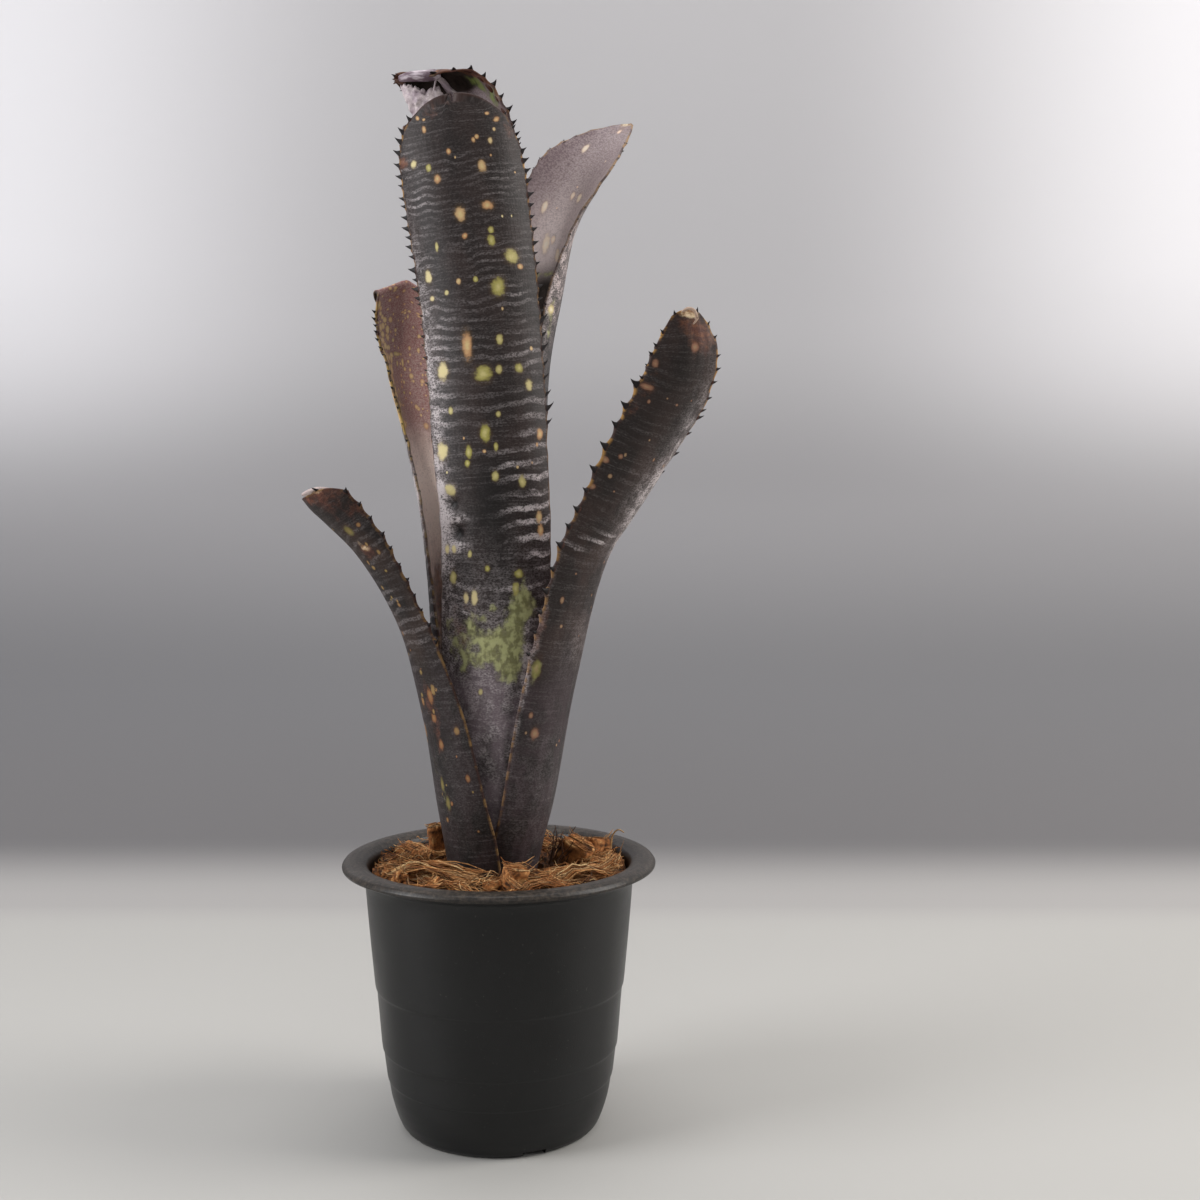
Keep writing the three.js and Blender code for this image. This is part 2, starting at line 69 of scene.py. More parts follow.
# Leaves, as in the solids. Station: x, y, z of the midrib (x and y from the rosette's
# axis), half width round the bow, radius of the bow, roll in degrees. Spines: side,
# distances from and to along the midrib, step, size, and a hook if not the usual one.
# "facing" is the compass side that the outer face looks to at the foot (0 = +X, 90 = +Y).
# "tip" is the length over which the blade narrows to its end and "blunt" how round the
# end is. "cap" lets the blade fall away on both sides of "peak", over a stretch of its
# length.
LEAVES = {
    "leaf_back": {
        "facing": 90, "tip": 14, "blunt": 1.8,
        "stations": [
            [0, 7.1, 88, 14, 7.1, 0], [0.2, 11.5, 118, 19.5, 11.5, 0],
            [0.6, 13.4, 146, 22, 13.5, 0], [0.9, 14.9, 175, 23, 15.2, 0],
            [1, 14.2, 214, 23, 15.2, 0], [-0.7, 13.6, 245, 23, 16, 0], [-2.7, 13, 273, 23, 17, 0],
            [-5.1, 12.4, 298, 23, 18.2, 0], [-7.9, 12, 324, 23, 20, 0],
            [-10.4, 11, 343, 21.5, 22, 0], [-12.8, 10.4, 355, 21, 23, -3],
            [-16.8, 9, 364.5, 18.6, 20, -10], [-21, 7, 368.6, 15, 12, -18],
            [-25.5, 5, 370.2, 11, 7, -26], [-30, 3, 370.6, 8, 4.6, -32],
            [-34, 1.5, 370.4, 5, 3.4, -32],
        ],
        "spines": [
            [-1, 236, 292, 3.6, 3.6], [-1, 293, 308, 2.8, 1.3], [1, 296, 308, 3, 1],
        ],
    },
    "leaf_back_right": {
        "facing": 40, "tip": 26, "blunt": 1.4,
        "stations": [
            [6.7, 5.7, 88, 14, 8.8, 0], [10.4, 8.7, 118, 21, 13.5, 0],
            [12.6, 10.5, 146, 23, 15.5, 0], [13.5, 11.6, 175, 24, 16.5, 0],
            [13.9, 12.4, 214, 23, 16.5, 0], [13.9, 14.5, 245, 23, 17, 0],
            [15.4, 16.4, 273, 23.6, 17.5, 0], [19.6, 17.6, 298, 24.2, 18, 0],
            [22.7, 18.8, 318, 21.5, 21, 4], [27.3, 20.5, 332, 20, 25, 8],
            [33.7, 22.5, 344.4, 18.5, 29, 10], [41, 24.5, 353.4, 16, 32, 10],
            [48.8, 26, 359.8, 13, 34, 10],
        ],
        "spines": [
            [1, 248, 272, 4, 1.8], [-1, 190, 278, 5, 0.9],
        ],
    },
    "leaf_front": {
        "facing": -90, "tip": 24, "blunt": 2.2,
        "stations": [
            [0, -10.5, 88, 15, 10.5, 0], [0.3, -15.2, 118, 19.6, 15.8, 0],
            [0.7, -17.6, 146, 20.3, 20, 0], [0.9, -18.8, 175, 21.2, 24, 0],
            [1.1, -18.5, 214, 21.2, 25, 0], [-0.7, -18, 245, 22, 26, 0],
            [-2.7, -17.5, 273, 22.2, 26, 0], [-4.9, -17, 298, 22.8, 26, 0],
            [-7.9, -16.5, 324, 23.4, 27, 0], [-10.2, -16, 340, 23, 28, 0],
            [-11.8, -15.5, 352, 22.4, 28, 0], [-13, -15, 361, 21, 28, 0],
        ],
        "spines": [
            [-1, 208, 271, 3.7, 3], [-1, 178, 206, 4.2, 1.6], [1, 200, 268, 3.7, 2.6],
            [1, 162, 199, 4.9, 3.4, 0.7],
        ],
    },
    "leaf_back_left": {
        "facing": 150, "tip": 12, "blunt": 2,
        "cap": {"from": 194, "to": 214, "peak": -0.1, "drop": 5.8},
        "stations": [
            [-10.6, 6.1, 88, 18, 12.2, 0], [-15, 8.8, 118, 23.5, 17.6, 0],
            [-17.1, 10.3, 146, 25, 20.6, 0], [-18.6, 11.2, 175, 24, 22.4, 0],
            [-21, 12.5, 203, 21, 23, 0], [-23, 14.5, 222, 20, 24, 0],
            [-27.3, 17.5, 241, 20, 25, 0], [-32.2, 20.6, 260, 21.4, 27, 0],
            [-34.2, 21.8, 275, 21.4, 34, 0], [-33.8, 20.9, 288.5, 20, 70, 0],
            [-33.2, 20.5, 299, 18.4, 150, 0], [-33, 20.4, 302.4, 17.4, 200, 0],
            [-34, 21, 303.1, 16.4, 200, 0], [-35.2, 21.7, 300.4, 14.4, 200, 0],
            [-36.1, 22.2, 294.4, 10, 200, 0],
        ],
        "spines": [
            [1, 168, 212, 3.8, 2], [1, 138, 166, 6, 1.3], [-1, 150, 212, 5.6, 1.4],
        ],
    },
    "leaf_low_right": {
        "facing": -30, "tip": 18, "blunt": 2,
        "stations": [
            [11.5, -6.6, 88, 17, 13.3, 0], [14.5, -8.3, 103, 17.4, 16, 0],
            [17.9, -10.2, 118, 18, 19, 0], [22.8, -12.5, 146, 18.4, 21, 0],
            [26.3, -14.7, 164, 17.8, 21, 0], [30.8, -17.2, 184, 16.8, 20.5, 0],
            [36.9, -20.8, 205, 16.4, 21, -4], [44.4, -24.8, 219.5, 16.8, 23, -8],
            [55.4, -31.5, 241, 16.4, 24, -18], [62.6, -37.8, 257.5, 14, 24, -30],
            [65.8, -41.5, 270, 12.2, 25, -36], [65.8, -42.8, 278, 11, 25, -36],
            [64.4, -43.2, 286.2, 10.2, 25, -36],
        ],
        "spines": [
            [-1, 84, 184, 7.5, 3.6], [-1, 186, 214, 5, 1.7], [1, 132, 176, 7.5, 2.6],
            [1, 178, 212, 4.6, 1.8],
        ],
    },
    "leaf_low_left": {
        "facing": 205, "tip": 8, "blunt": 2.6,
        "stations": [
            [-14.1, -6.6, 88, 21, 15.6, 0], [-16.5, -7.7, 104, 22, 18.2, 0],
            [-18.6, -8.8, 118, 21.5, 20.8, 0], [-22.8, -10.4, 147, 19, 22, 0],
            [-28.2, -12.9, 172, 15, 20, 0], [-35.4, -16.2, 190, 14, 18, 0],
            [-44.3, -20.3, 205.8, 14.6, 17, 4], [-52.8, -24, 216.4, 15.2, 18, 10],
            [-57.6, -26, 222, 15, 20, 12], [-60.8, -27, 226.4, 14, 20, 12],
        ],
        "spines": [
            [1, 88, 152, 5.6, 2.8], [-1, 104, 150, 6.4, 2.4],
        ],
    },
}
FIRST_SEED = 11

# Spots seen on the leaves: height above the table, place across (-1 to 1 edge to edge),
# length along the leaf, width across it, and tint (0 peach, 0.5 cream, 1 yellow-green).
SPOTS = {
    "leaf_front": [
        [350, -0.57, 2.6, 1.5, 0.1], [338, -0.72, 2.2, 2.4, 0.6], [336.5, -0.47, 2.2, 1.8, 0.9],
        [333, -0.36, 2.8, 2.2, 0.1], [342, -0.14, 2, 1.4, 0], [345.5, 0.25, 1.4, 1.2, 0.1],
        [347, 0.31, 1.4, 1.2, 0.1], [345.5, 0.5, 2, 1.6, 0.3], [337, 0.31, 3.6, 2.6, 0.2],
        [324, 0.3, 2.8, 3.6, 0.1], [321, -0.1, 4.4, 3.2, 0.2], [313.5, -0.07, 2, 1.7, 0],
        [316, 0.31, 2.4, 1.8, 0.9], [312.3, 0.3, 3.4, 2.4, 0.9], [310, -0.51, 3, 1.2, 0.8],
        [307.2, 0.59, 4.2, 4.8, 0.8], [296.6, 0.33, 5.2, 4.6, 0.9], [300.6, -0.74, 4.2, 2.7, 0.5],
        [298.5, -0.24, 2, 1.4, 0.2], [299, 0.01, 1.8, 1.4, 0.9], [304, 0.71, 1.7, 1.9, 0.1],
        [293, -0.72, 1.8, 1.7, 0.4], [295, -0.45, 1.7, 1.4, 0.7], [354, -0.86, 1.1, 1.3, 0.1],
        [354, -0.68, 1.1, 1.1, 0.1], [356, 0.71, 1.3, 1.5, 0.1], [353.6, 0.78, 1.7, 2, 0.1],
        [267.4, 0, 4.9, 5.2, 0.9], [268.6, -0.66, 5.6, 4.1, 0.5], [277, -0.21, 8.6, 3.1, 0.1],
        [279, 0.28, 3.1, 2.1, 0.8], [269, 0.24, 2.8, 2.1, 0.8], [269.4, 0.56, 2.8, 2.7, 0.9],
        [263.7, 0.7, 3.4, 2.6, 0.7], [247.4, -0.04, 5.6, 3.1, 1], [240.8, -0.32, 4.1, 2.1, 1],
        [237, -0.35, 2.4, 1.8, 1], [241.4, -0.78, 5.6, 4.2, 0.6], [228, -0.69, 4.2, 3.4, 0.7],
        [255, -0.57, 2.4, 1.6, 0.8], [253.7, 0.18, 1.8, 1.4, 0.8], [242.7, 0.11, 2.8, 1.4, 0.9],
        [232.8, 0.07, 3.2, 2.1, 0.8], [230.8, 0.49, 3.8, 2.2, 0.8], [247.2, 0.85, 3.8, 2.3, 0.1],
        [218.8, 0.76, 3.8, 2.2, 0.2], [214.3, 0.78, 3.8, 2.2, 0.1], [198, -0.71, 4.2, 2.6, 0.8],
        [207.7, -0.84, 3.1, 2.2, 0.6], [207.7, -0.68, 2.8, 1.7, 0.6],
        [206.2, -0.4, 2.4, 1.5, 0.8], [201.2, -0.11, 2.1, 1.7, 1], [199.4, 0.39, 2.8, 2.9, 1],
        [194.3, 0.34, 4.1, 2.2, 0.9], [191, -0.32, 4.8, 2.2, 0.5], [191, -0.46, 3.4, 1.9, 0.4],
        [158.7, -0.22, 2, 1.4, 0.7],
    ],
    "leaf_low_left": [
        [157, 0.38, 5, 2.4, 0.1], [149.5, 0.33, 3, 2.2, 0.1], [145.7, 0.8, 2.8, 2, 0.3],
        [143.5, -0.22, 4.4, 2.6, 0.2], [140, 0.38, 3.6, 2.1, 0.1], [119, 0.3, 5, 2.1, 1],
        [125.5, 0.22, 4.4, 1.8, 1], [129, 0.81, 2.5, 1.4, 0.1], [159.5, 0.51, 3.6, 2, 0.4],
        [155, 0.06, 3.6, 1.7, 0.2], [215, 0.4, 4, 3, 0.9],
    ],
    "leaf_low_right": [
        [144.7, -0.61, 4.2, 2.8, 0.1], [151, -0.75, 2.1, 1.4, 0.1], [191, -0.69, 2.2, 1.2, 0.2],
        [167.6, -0.85, 6.4, 3, 1], [269, -0.84, 2.8, 2.2, 0.1], [262, -0.82, 2.1, 4, 0.1],
        [274.4, 0.18, 2.8, 2.6, 0], [239.4, -0.69, 1.7, 1.4, 0], [238, -0.93, 1.8, 2.2, 0.1],
        [229.4, -0.94, 1.8, 1.9, 0.1],
    ],
    "leaf_back_right": [
        [351.2, 0.45, 3.3, 1.9, 0.3], [356.7, 0.04, 2.2, 1.5, 0], [333, 0, 3, 1.9, 0.2],
        [331.8, -0.22, 3.6, 2.3, 0.3], [330, 0.5, 3.9, 2.2, 0.3], [316.4, 0.25, 6.2, 3, 0.3],
        [311.9, -0.04, 4.4, 2, 0.3], [317.6, 0.12, 3, 1.8, 0.2], [291, -0.86, 3, 3.2, 0.9],
    ],
    "leaf_back_left": [
        [285, 0.88, 3.5, 2.6, 0.3], [285, 0.31, 1.4, 1.5, 0.6], [282, 0.59, 1.4, 1.9, 0.6],
        [281.6, 0.39, 1.4, 1.8, 0.7], [280, 0.81, 2.8, 1.3, 0.1], [278.3, 0.64, 1.8, 1.9, 0.6],
        [275.2, 0.96, 2.1, 2.2, 0.6], [276.4, 0.26, 1.5, 5, 0.8], [273.8, 0.07, 3.1, 1.5, 0.5],
        [273.3, 0.26, 2.1, 1.5, 0.7], [290.8, 0.64, 2.8, 1.9, 0.2], [269.2, -0.14, 1.8, 2.2, 0.3],
        [267.4, -0.39, 1.8, 1.9, 0.1], [263, 0.34, 1.1, 1.2, 0.9], [262.9, 0.14, 1.1, 1.2, 0.9],
        [257.8, -0.14, 1.8, 1.9, 0.2], [256.6, 0.86, 2.1, 2, 0.4], [252.5, 0.98, 2.1, 2.2, 0.5],
        [250.8, -0.27, 2.4, 2.5, 0],
    ],
    "leaf_back": [],
}

# Half of a spot's size, and a little more for its soft edge
SPOT_HALF = 0.54

# Small specks drawn at random: how many, lowest and highest place, across from and to,
# least and greatest size, tint from and to, width over length.
SPECKS = {
    "leaf_front": [[16, 195, 352, -0.85, 0.85, 0.6, 1.1, 0, 0.6, 0.8]],
    "leaf_low_left": [[40, 105, 222, -0.9, 0.9, 0.6, 1.5, 0, 0.8, 0.8]],
    "leaf_low_right": [[26, 130, 284, -0.95, 0.95, 0.4, 1.1, 0, 0.4, 1]],
    "leaf_back_right": [[16, 240, 345, -0.8, 0.8, 0.5, 1, 0, 0.4, 0.7]],
    "leaf_back_left": [
        [70, 291, 303, -0.9, 0.95, 0.5, 0.9, 0, 0.35, 2.4],
        [90, 252, 291, -0.9, 0.95, 0.5, 1.2, 0, 0.4, 1.1],
        [74, 250, 293, 0.45, 0.98, 1.3, 2.9, 0.15, 0.6, 1],
    ],
    "leaf_back": [[16, 250, 352, -0.8, 0.8, 0.6, 1.3, 0, 0.9, 0.8]],
}

# Soft patches painted on a blade, each at a height and a place across: half length along
# the leaf, half width across it, strength. "banded" carries the silver cross bands. The even
# silver patches are scurf together with a painted sheen and painted highlights, on lit flanks,
# on inner faces and round the dents. The shade patches are painted shade: the blade's dark
# middle, hollows, the dents and the inside of the tube. "warm" is red-brown, "blotch"
# yellow-green and "dried" straw-coloured dead tissue.
PATCHES = {
    "leaf_front": {
        "banded": [
            [222, 0.66, 21, 9, 1.6], [272, 0.7, 34, 7, 0.2], [196, 0.55, 14, 8, 0.5],
            [282, 0.2, 46, 22, 0.12], [300, -0.8, 50, 6, 0.4], [245, -0.84, 36, 5, 0.45],
            [333, 0, 10, 20, 0.12], [189, -0.7, 7, 7, 1.3], [160, 0, 30, 20, 0.3],
        ],
        "wash": [
            [250, -0.94, 46, 3.6, 1.2], [215, -0.92, 18, 3.6, 0.8], [182, -0.85, 24, 5, 0.5],
            [186, -1.02, 28, 1.1, 1], [150, 0, 45, 20, 0.4], [164, 0.53, 15, 1.5, 1.7],
            [218.4, -0.7, 1, 3.6, 3.4], [228.6, -0.82, 1.2, 3, 3], [208.6, -0.66, 1, 3.6, 3.2],
            [223.5, -0.98, 2.6, 1, 2], [213.5, -0.95, 2.6, 1, 2],
        ],
        "dusk": [
            [223.5, -0.7, 2.4, 2.4, 1.2], [213.5, -0.64, 2.4, 2.8, 1.2], [222, 0, 26, 9, 0.9],
            [333, 0.1, 36, 16, 0.3],
        ],
        "warm": [
            [339, -0.93, 2.4, 2.6, 0.9], [357, -0.6, 4, 7, 0.35], [351, 0.9, 6, 2.4, 0.5],
            [180, -0.5, 10, 8, 0.35],
        ],
        "blotch": [
            [188, 0.5, 5, 4, 1.3], [184, 0.33, 6, 2.8, 1.1], [187.6, 0, 2, 1.8, 1],
            [184.3, -0.16, 1.6, 1.5, 0.8], [181, -0.35, 5, 2.8, 0.9], [175, -0.62, 5, 4.4, 0.8],
            [182, -0.8, 4, 3, 0.5], [170, -0.45, 3, 2.4, 0.8], [176.5, -0.14, 3.4, 3.2, 1],
            [178, 0.1, 4, 3.2, 1], [176.4, 0.36, 4.8, 2.9, 1], [169.6, -0.25, 3, 2.5, 1],
            [172, -0.05, 3.4, 2.6, 1], [168, 0.25, 6, 4.5, 1.5], [166, -0.52, 2, 1.3, 0.8],
            [193, 0.45, 6, 1.6, 0.8],
        ],
    },
    "leaf_back_right": {
        "banded": [[250, -0.9, 60, 6, 0.7], [250, 0.9, 60, 6, 0.7], [200, 0, 80, 30, 0.3]],
        "wash": [[313, 0.25, 13, 10, 1.4], [334, 0.1, 24, 14, 0.6], [292, -0.8, 34, 7, 1.2]],
        "dusk": [[268, 0.1, 42, 60, 1.25]],
        "warm": [[358, 0, 3, 9, 0.3]],
        "blotch": [
            [305.5, 0.1, 1.1, 9, 0.9], [291, -0.86, 4, 2.4, 0.8], [283, -0.82, 5, 1.4, 0.7],
        ],
        "dried": [[360, 0.2, 1.2, 3, 0.9]],
    },
    "leaf_back": {
        "banded": [[280, 0.9, 70, 8, 0.7], [280, -0.9, 70, 8, 0.7], [230, 0, 90, 40, 0.4]],
        "wash": [[364.5, -0.5, 3, 8, 1.1], [361, -0.2, 4, 9, 0.8], [352, 0.4, 10, 10, 0.3]],
        "dusk": [[371.5, -0.4, 4.6, 9, 1.3], [300, 0, 42, 60, 1.2], [369, 0.2, 4, 5, 1]],
        "warm": [[369, -1, 5, 1.6, 0.9], [371.5, -0.92, 2, 2, 0.7]],
        "blotch": [[363.6, -0.9, 3.4, 2.4, 1], [368.5, -0.78, 2.4, 2.6, 1]],
    },
    "leaf_back_left": {
        "banded": [[230, 0.8, 60, 7, 0.8], [230, -0.8, 60, 7, 0.8], [200, 0, 60, 30, 0.3]],
        "wash": [[226, 0.2, 14, 30, 1.7], [196, 0.28, 20, 2, 1], [212, -0.3, 12, 12, 0.8]],
        "dusk": [[190, -0.6, 30, 5, 0.6]],
        "warm": [[250.8, -0.27, 3, 3, 0.5], [190, 0.15, 16, 6, 1]],
        "blotch": [[262, 0.95, 14, 3, 0.8], [270, 0.7, 18, 6, 0.5], [256, 0.5, 9, 9, 0.55]],
    },
    "leaf_low_right": {
        "banded": [[222, 0.1, 26, 22, 0.06], [262, 0.3, 24, 12, 0.03], [211, -0.2, 3, 12, 0.9]],
        "wash": [
            [224, 0.8, 26, 5, 1.4], [222, 0.4, 14, 6, 0.8], [168, -1, 24, 1, 1.1],
            [150, 0.85, 40, 5, 0.25], [176, 0.2, 12, 9, 0.15], [120, 0, 30, 20, 0.08],
        ],
        "dusk": [[262, -0.4, 26, 9, 0.5], [235, -0.6, 20, 6, 0.4]],
        "warm": [[279, 0.5, 7, 7, 0.7], [181, -0.97, 12, 1.4, 0.6], [260, -0.85, 8, 3, 0.4]],
        "blotch": [[167, -0.85, 5, 2, 0.7], [188, 0.4, 5, 3, 0.25]],
        "dried": [[285, 0.3, 1.6, 4, 0.9]],
    },
    "leaf_low_left": {
        "banded": [[185, 0.2, 24, 20, 0.16], [208, 0.3, 10, 10, 0.12], [130, 0, 36, 30, 0.06]],
        "wash": [
            [196, -0.6, 18, 4, 0.5], [130, -0.8, 36, 5, 0.15], [130, 0.3, 30, 20, 0.04],
        ],
        "dusk": [[140, 0.35, 24, 9, 0.7], [190, 0.7, 20, 4, 0.4]],
        "warm": [
            [228, 0, 4, 20, 0.7], [221, 0.6, 4, 8, 0.4], [208, 0.45, 3, 3.4, 0.6],
            [150, 0.3, 14, 4, 0.5],
        ],
        "blotch": [[121, 0.25, 5, 1.6, 0.6], [133, 0.1, 6, 3, 0.35], [146, 0.6, 8, 3, 0.25]],
        "dried": [[228, 0.2, 1.4, 6, 0.9], [209, 0.45, 2.6, 2.2, 0.5]],
    },
}

PATCH_KINDS = ("banded", "wash", "dusk", "warm", "blotch", "dried")

# Spacing of the cross bands at distances from the foot, and where one band lies
BAND_SPACING = {
    "leaf_front": ([60, 95, 104, 165, 178, 200, 225, 275], [2.4, 2.8, 5.1, 5.1, 4, 3.1, 2.7, 2.5]),
    "leaf_back_right": ([0, 280], [4.6, 3.4]),
    "leaf_back": ([0, 310], [4.8, 3.4]),
    "leaf_back_left": ([0, 230], [4.8, 3.2]),
    "leaf_low_right": ([0, 110, 215], [3, 4.2, 3.2]),
    "leaf_low_left": ([0, 80, 150], [3, 4.4, 3.2]),
}
BAND_AT = 168
BAND_SLOPE = 0.12
BAND_WAVE = 0.75
BAND_SAMPLES = 1500

# How far the amber of the margin shows, at heights above the table
AMBER = {
    "leaf_front": ([90, 280, 315, 335, 346, 356], [0.1, 0.2, 0.5, 1, 0.8, 0]),
    "leaf_back_right": ([90, 280, 320, 350], [0.2, 0.3, 0.2, 0.7]),
    "leaf_back": ([90, 330, 355, 366, 369], [0.3, 0.4, 0.5, 0.4, 0]),
    "leaf_back_left": ([90, 235, 250, 300], [0.3, 0.3, 0.9, 0.5]),
    "leaf_low_right": ([90, 150, 190, 215, 240, 285], [0.2, 0.3, 0.4, 0.3, 0.6, 0.9]),
    "leaf_low_left": ([90, 150, 180, 205, 226], [0.4, 0.6, 0.4, 0.3, 0.6]),
}

# The front leaf's end is lower than a full arc on both sides of a small point
POINTED = {"leaf_front": {"reach": 15, "drop": 2.7, "point": -0.13, "width": 0.1}}

# The tone of the glossy roll among the scraps
ROLL_TONE = 0.5

# Dried and curled bits at the leaf tips: a path in the object's frame, its radii from
# start to end, how flat it is, and its tone (0.1 brown, 0.5 glossy mauve, 1 pale straw)
SCRAPS = {
    "leaf_back": [
        {
            "path": [
                [-33, -1, 369.4], [-29, -2.5, 369.8], [-24.5, -2.5, 370], [-20.8, -2, 370.4],
                [-19.5, -1, 370],
            ],
            "radii": [1.2, 2, 2.2, 2.2, 0.9], "flat": 0.9, "tone": ROLL_TONE,
        },
        {
            "path": [
                [-21, -0.5, 370.5], [-18.5, 1, 369], [-16.5, 2.5, 366.5], [-14, 3.5, 365],
                [-11, 4, 363],
            ],
            "radii": [1.1, 1.5, 1.7, 1.5, 0.6], "flat": 0.6, "tone": 0.95,
        },
        {
            "path": [[-20.5, -1.5, 369.5], [-21, -2.5, 366.5], [-21.5, -3.5, 364]],
            "radii": [0.7, 0.4, 0.1], "flat": 0.6, "tone": 0.95,
        },
        {
            "path": [[-31.5, 1.5, 369], [-33, 1, 369], [-34, 0.5, 369.2], [-35.5, 0.5, 369.5]],
            "radii": [1.5, 1.3, 0.6, 0.1], "flat": 0.9, "tone": 0.15,
        },
        {
            "path": [[-32, 1, 368.5], [-34, 0.5, 368.7], [-35.5, 0.5, 368]],
            "radii": [1.2, 0.6, 0.1], "flat": 0.8, "tone": 0.15,
        },
    ],
    "leaf_low_right": [
        {
            "path": [
                [62.5, -43.5, 285.5], [64.5, -45, 286.5], [66.5, -45.5, 285.5], [67, -45.5, 283],
                [66, -45, 281.5],
            ],
            "radii": [0.6, 1.1, 1, 0.7, 0.3], "flat": 0.5, "tone": 0.85,
        },
    ],
    "leaf_low_left": [
        {
            "path": [
                [-54.5, -27.5, 228.5], [-58, -29, 228.5], [-61, -29.5, 227.5],
                [-63.5, -29.5, 226.5],
            ],
            "radii": [0.5, 1.2, 1.6, 0.8], "flat": 0.6, "tone": 0.9,
        },
    ],
}

# The torn, papery pouch under the curled tip: rows from its ragged top to its hidden foot
POUCH = [
    [[-33, 1.5, 368], [-29, -0.5, 367.5], [-25, -0.5, 365.5], [-21, 0.5, 366.5], [-19, 2, 366]],
    [[-32.5, 0.5, 365.5], [-28.5, -3, 364], [-24, -3, 363], [-20.5, -2, 363.5], [-18.5, 1, 364.5]],
    [[-31.5, 1, 363], [-28, -3.5, 361.5], [-24, -4, 360.5], [-20, -2.5, 361.5], [-17.5, 0.5, 363.5]],
    [[-30, 2, 360], [-26.5, -2.5, 359], [-23, -3, 358.5], [-19, -2, 359.5], [-17, 0.5, 362]],
    [[-29, 3, 357.5], [-26, -1, 356], [-22.5, -1.5, 356], [-18.5, -1, 357], [-16.5, 1, 360]],
]
POUCH_STEPS = 46
POUCH_RAGGED_ROWS = 7
POUCH_HALF_THICKNESS = 0.25

# Dents pressed into the front leaf's left flank: height, across, depth, radius
DENTS = {
    "leaf_front": [
        [223.5, -0.7, 2.4, 2.3], [213.5, -0.64, 2.4, 2.5], [218.4, -0.68, -1.4, 1.6],
        [229, -0.76, -0.8, 2], [208.6, -0.68, -0.8, 2],
    ],
}


# Geometry helpers


def linked(name, data):
    """A new object in the scene, for a mesh, a light or a camera"""
    thing = bpy.data.objects.new(name, data)
    bpy.context.scene.collection.objects.link(thing)
    return thing


class Pile:
    """Points, faces and one number per point under each attribute's name."""

    def __init__(self, *names):
        self.points = []
        self.faces = []
        self.values = {name: [] for name in names}
        self.count = 0

    def add(self, points, faces, **values):
        points = np.asarray(points, float).reshape(-1, 3)
        self.points.append(points)
        self.faces.extend(tuple(int(k) + self.count for k in face) for face in faces)
        for name, stored in self.values.items():
            given = np.asarray(values.get(name, 0.0), float)
            stored.append(np.broadcast_to(given.reshape(-1), (len(points),)))
        self.count += len(points)

    def piece(self, name):
        mesh = bpy.data.meshes.new(name)
        mesh.from_pydata((np.concatenate(self.points) * MM).tolist(), [], self.faces)
        for key, stored in self.values.items():
            attribute = mesh.attributes.new(key, "FLOAT", "POINT")
            attribute.data.foreach_set("value", np.concatenate(stored).astype(np.float32))
        made = bmesh.new()
        made.from_mesh(mesh)
        bmesh.ops.recalc_face_normals(made, faces=made.faces)
        made.to_mesh(mesh)
        made.free()
        mesh.shade_smooth()
        return linked(name, mesh)


def unit(v):
    return v / np.linalg.norm(v, axis=-1, keepdims=True)


def circle(count):
    """Even angles round a full turn"""
    return np.arange(count) * 2 * math.pi / count


def seeded(seed):
    """The same repeatable draws from 0 to 1 as the solids use"""
    state = seed
    while True:
        state = (state * 1664525 + 1013904223) % 4294967296
        yield state / 4294967296


def ripple(x, y, seed, octaves=6):
    """A smooth wavy field of about -1 to 1 over x and y, each near 1 for one wave"""
    draw = random.Random(seed)
    total = np.zeros(np.broadcast(x, y).shape)
    for _ in range(octaves):
        turn = draw.uniform(0, 2 * math.pi)
        step = draw.uniform(0.6, 1.7) * 2 * math.pi
        shift = draw.uniform(0, 2 * math.pi)
        total = total + np.sin(step * (x * math.cos(turn) + y * math.sin(turn)) + shift)
    return total / math.sqrt(2 * octaves)


def loop_faces(rows, ring):
    """Quads between closed rings of points"""
    faces = []
    for i in range(rows - 1):
        for j in range(ring):
            k = (j + 1) % ring
            faces.append((i * ring + j, i * ring + k, (i + 1) * ring + k, (i + 1) * ring + j))
    return faces


def fan(ring, centre, first=0):
    """Triangles between a closed ring of points and its centre"""
    return [(first + j, first + (j + 1) % ring, centre) for j in range(ring)]


def tube(path, radii, sides=4, flat=1.0):
    """Points and faces of a tapering tube along a path"""
    path = np.asarray(path, float)
    radii = np.asarray(radii, float)
    along = unit(np.gradient(path, axis=0))
    start = np.array([0.0, 0.0, 1.0])
    if abs(along[0] @ start) > 0.9:
        start = np.array([1.0, 0.0, 0.0])
    across = unit(np.cross(along, start))
    up = np.cross(across, along)
    turns = circle(sides)
    ring = (
        across[:, None, :] * np.cos(turns)[None, :, None]
        + flat * up[:, None, :] * np.sin(turns)[None, :, None]
    )
    points = path[:, None, :] + ring * radii[:, None, None]
    faces = loop_faces(len(path), sides)
    faces.append(tuple(range(sides)))
    faces.append(tuple((len(path) - 1) * sides + j for j in reversed(range(sides))))
    return points.reshape(-1, 3), faces


# Leaf shape


def between(rows, t):
    last = len(rows) - 1
    i = np.minimum(np.floor(t).astype(int), last - 1)
    f = (t - i)[:, None]
    a, b, c, d = (rows[np.clip(i + k, 0, last)] for k in (-1, 0, 1, 2))
    bend = 2 * a - 5 * b + 4 * c - d
    return b + 0.5 * f * ((c - a) + f * (bend + f * (3 * (b - c) + d - a)))


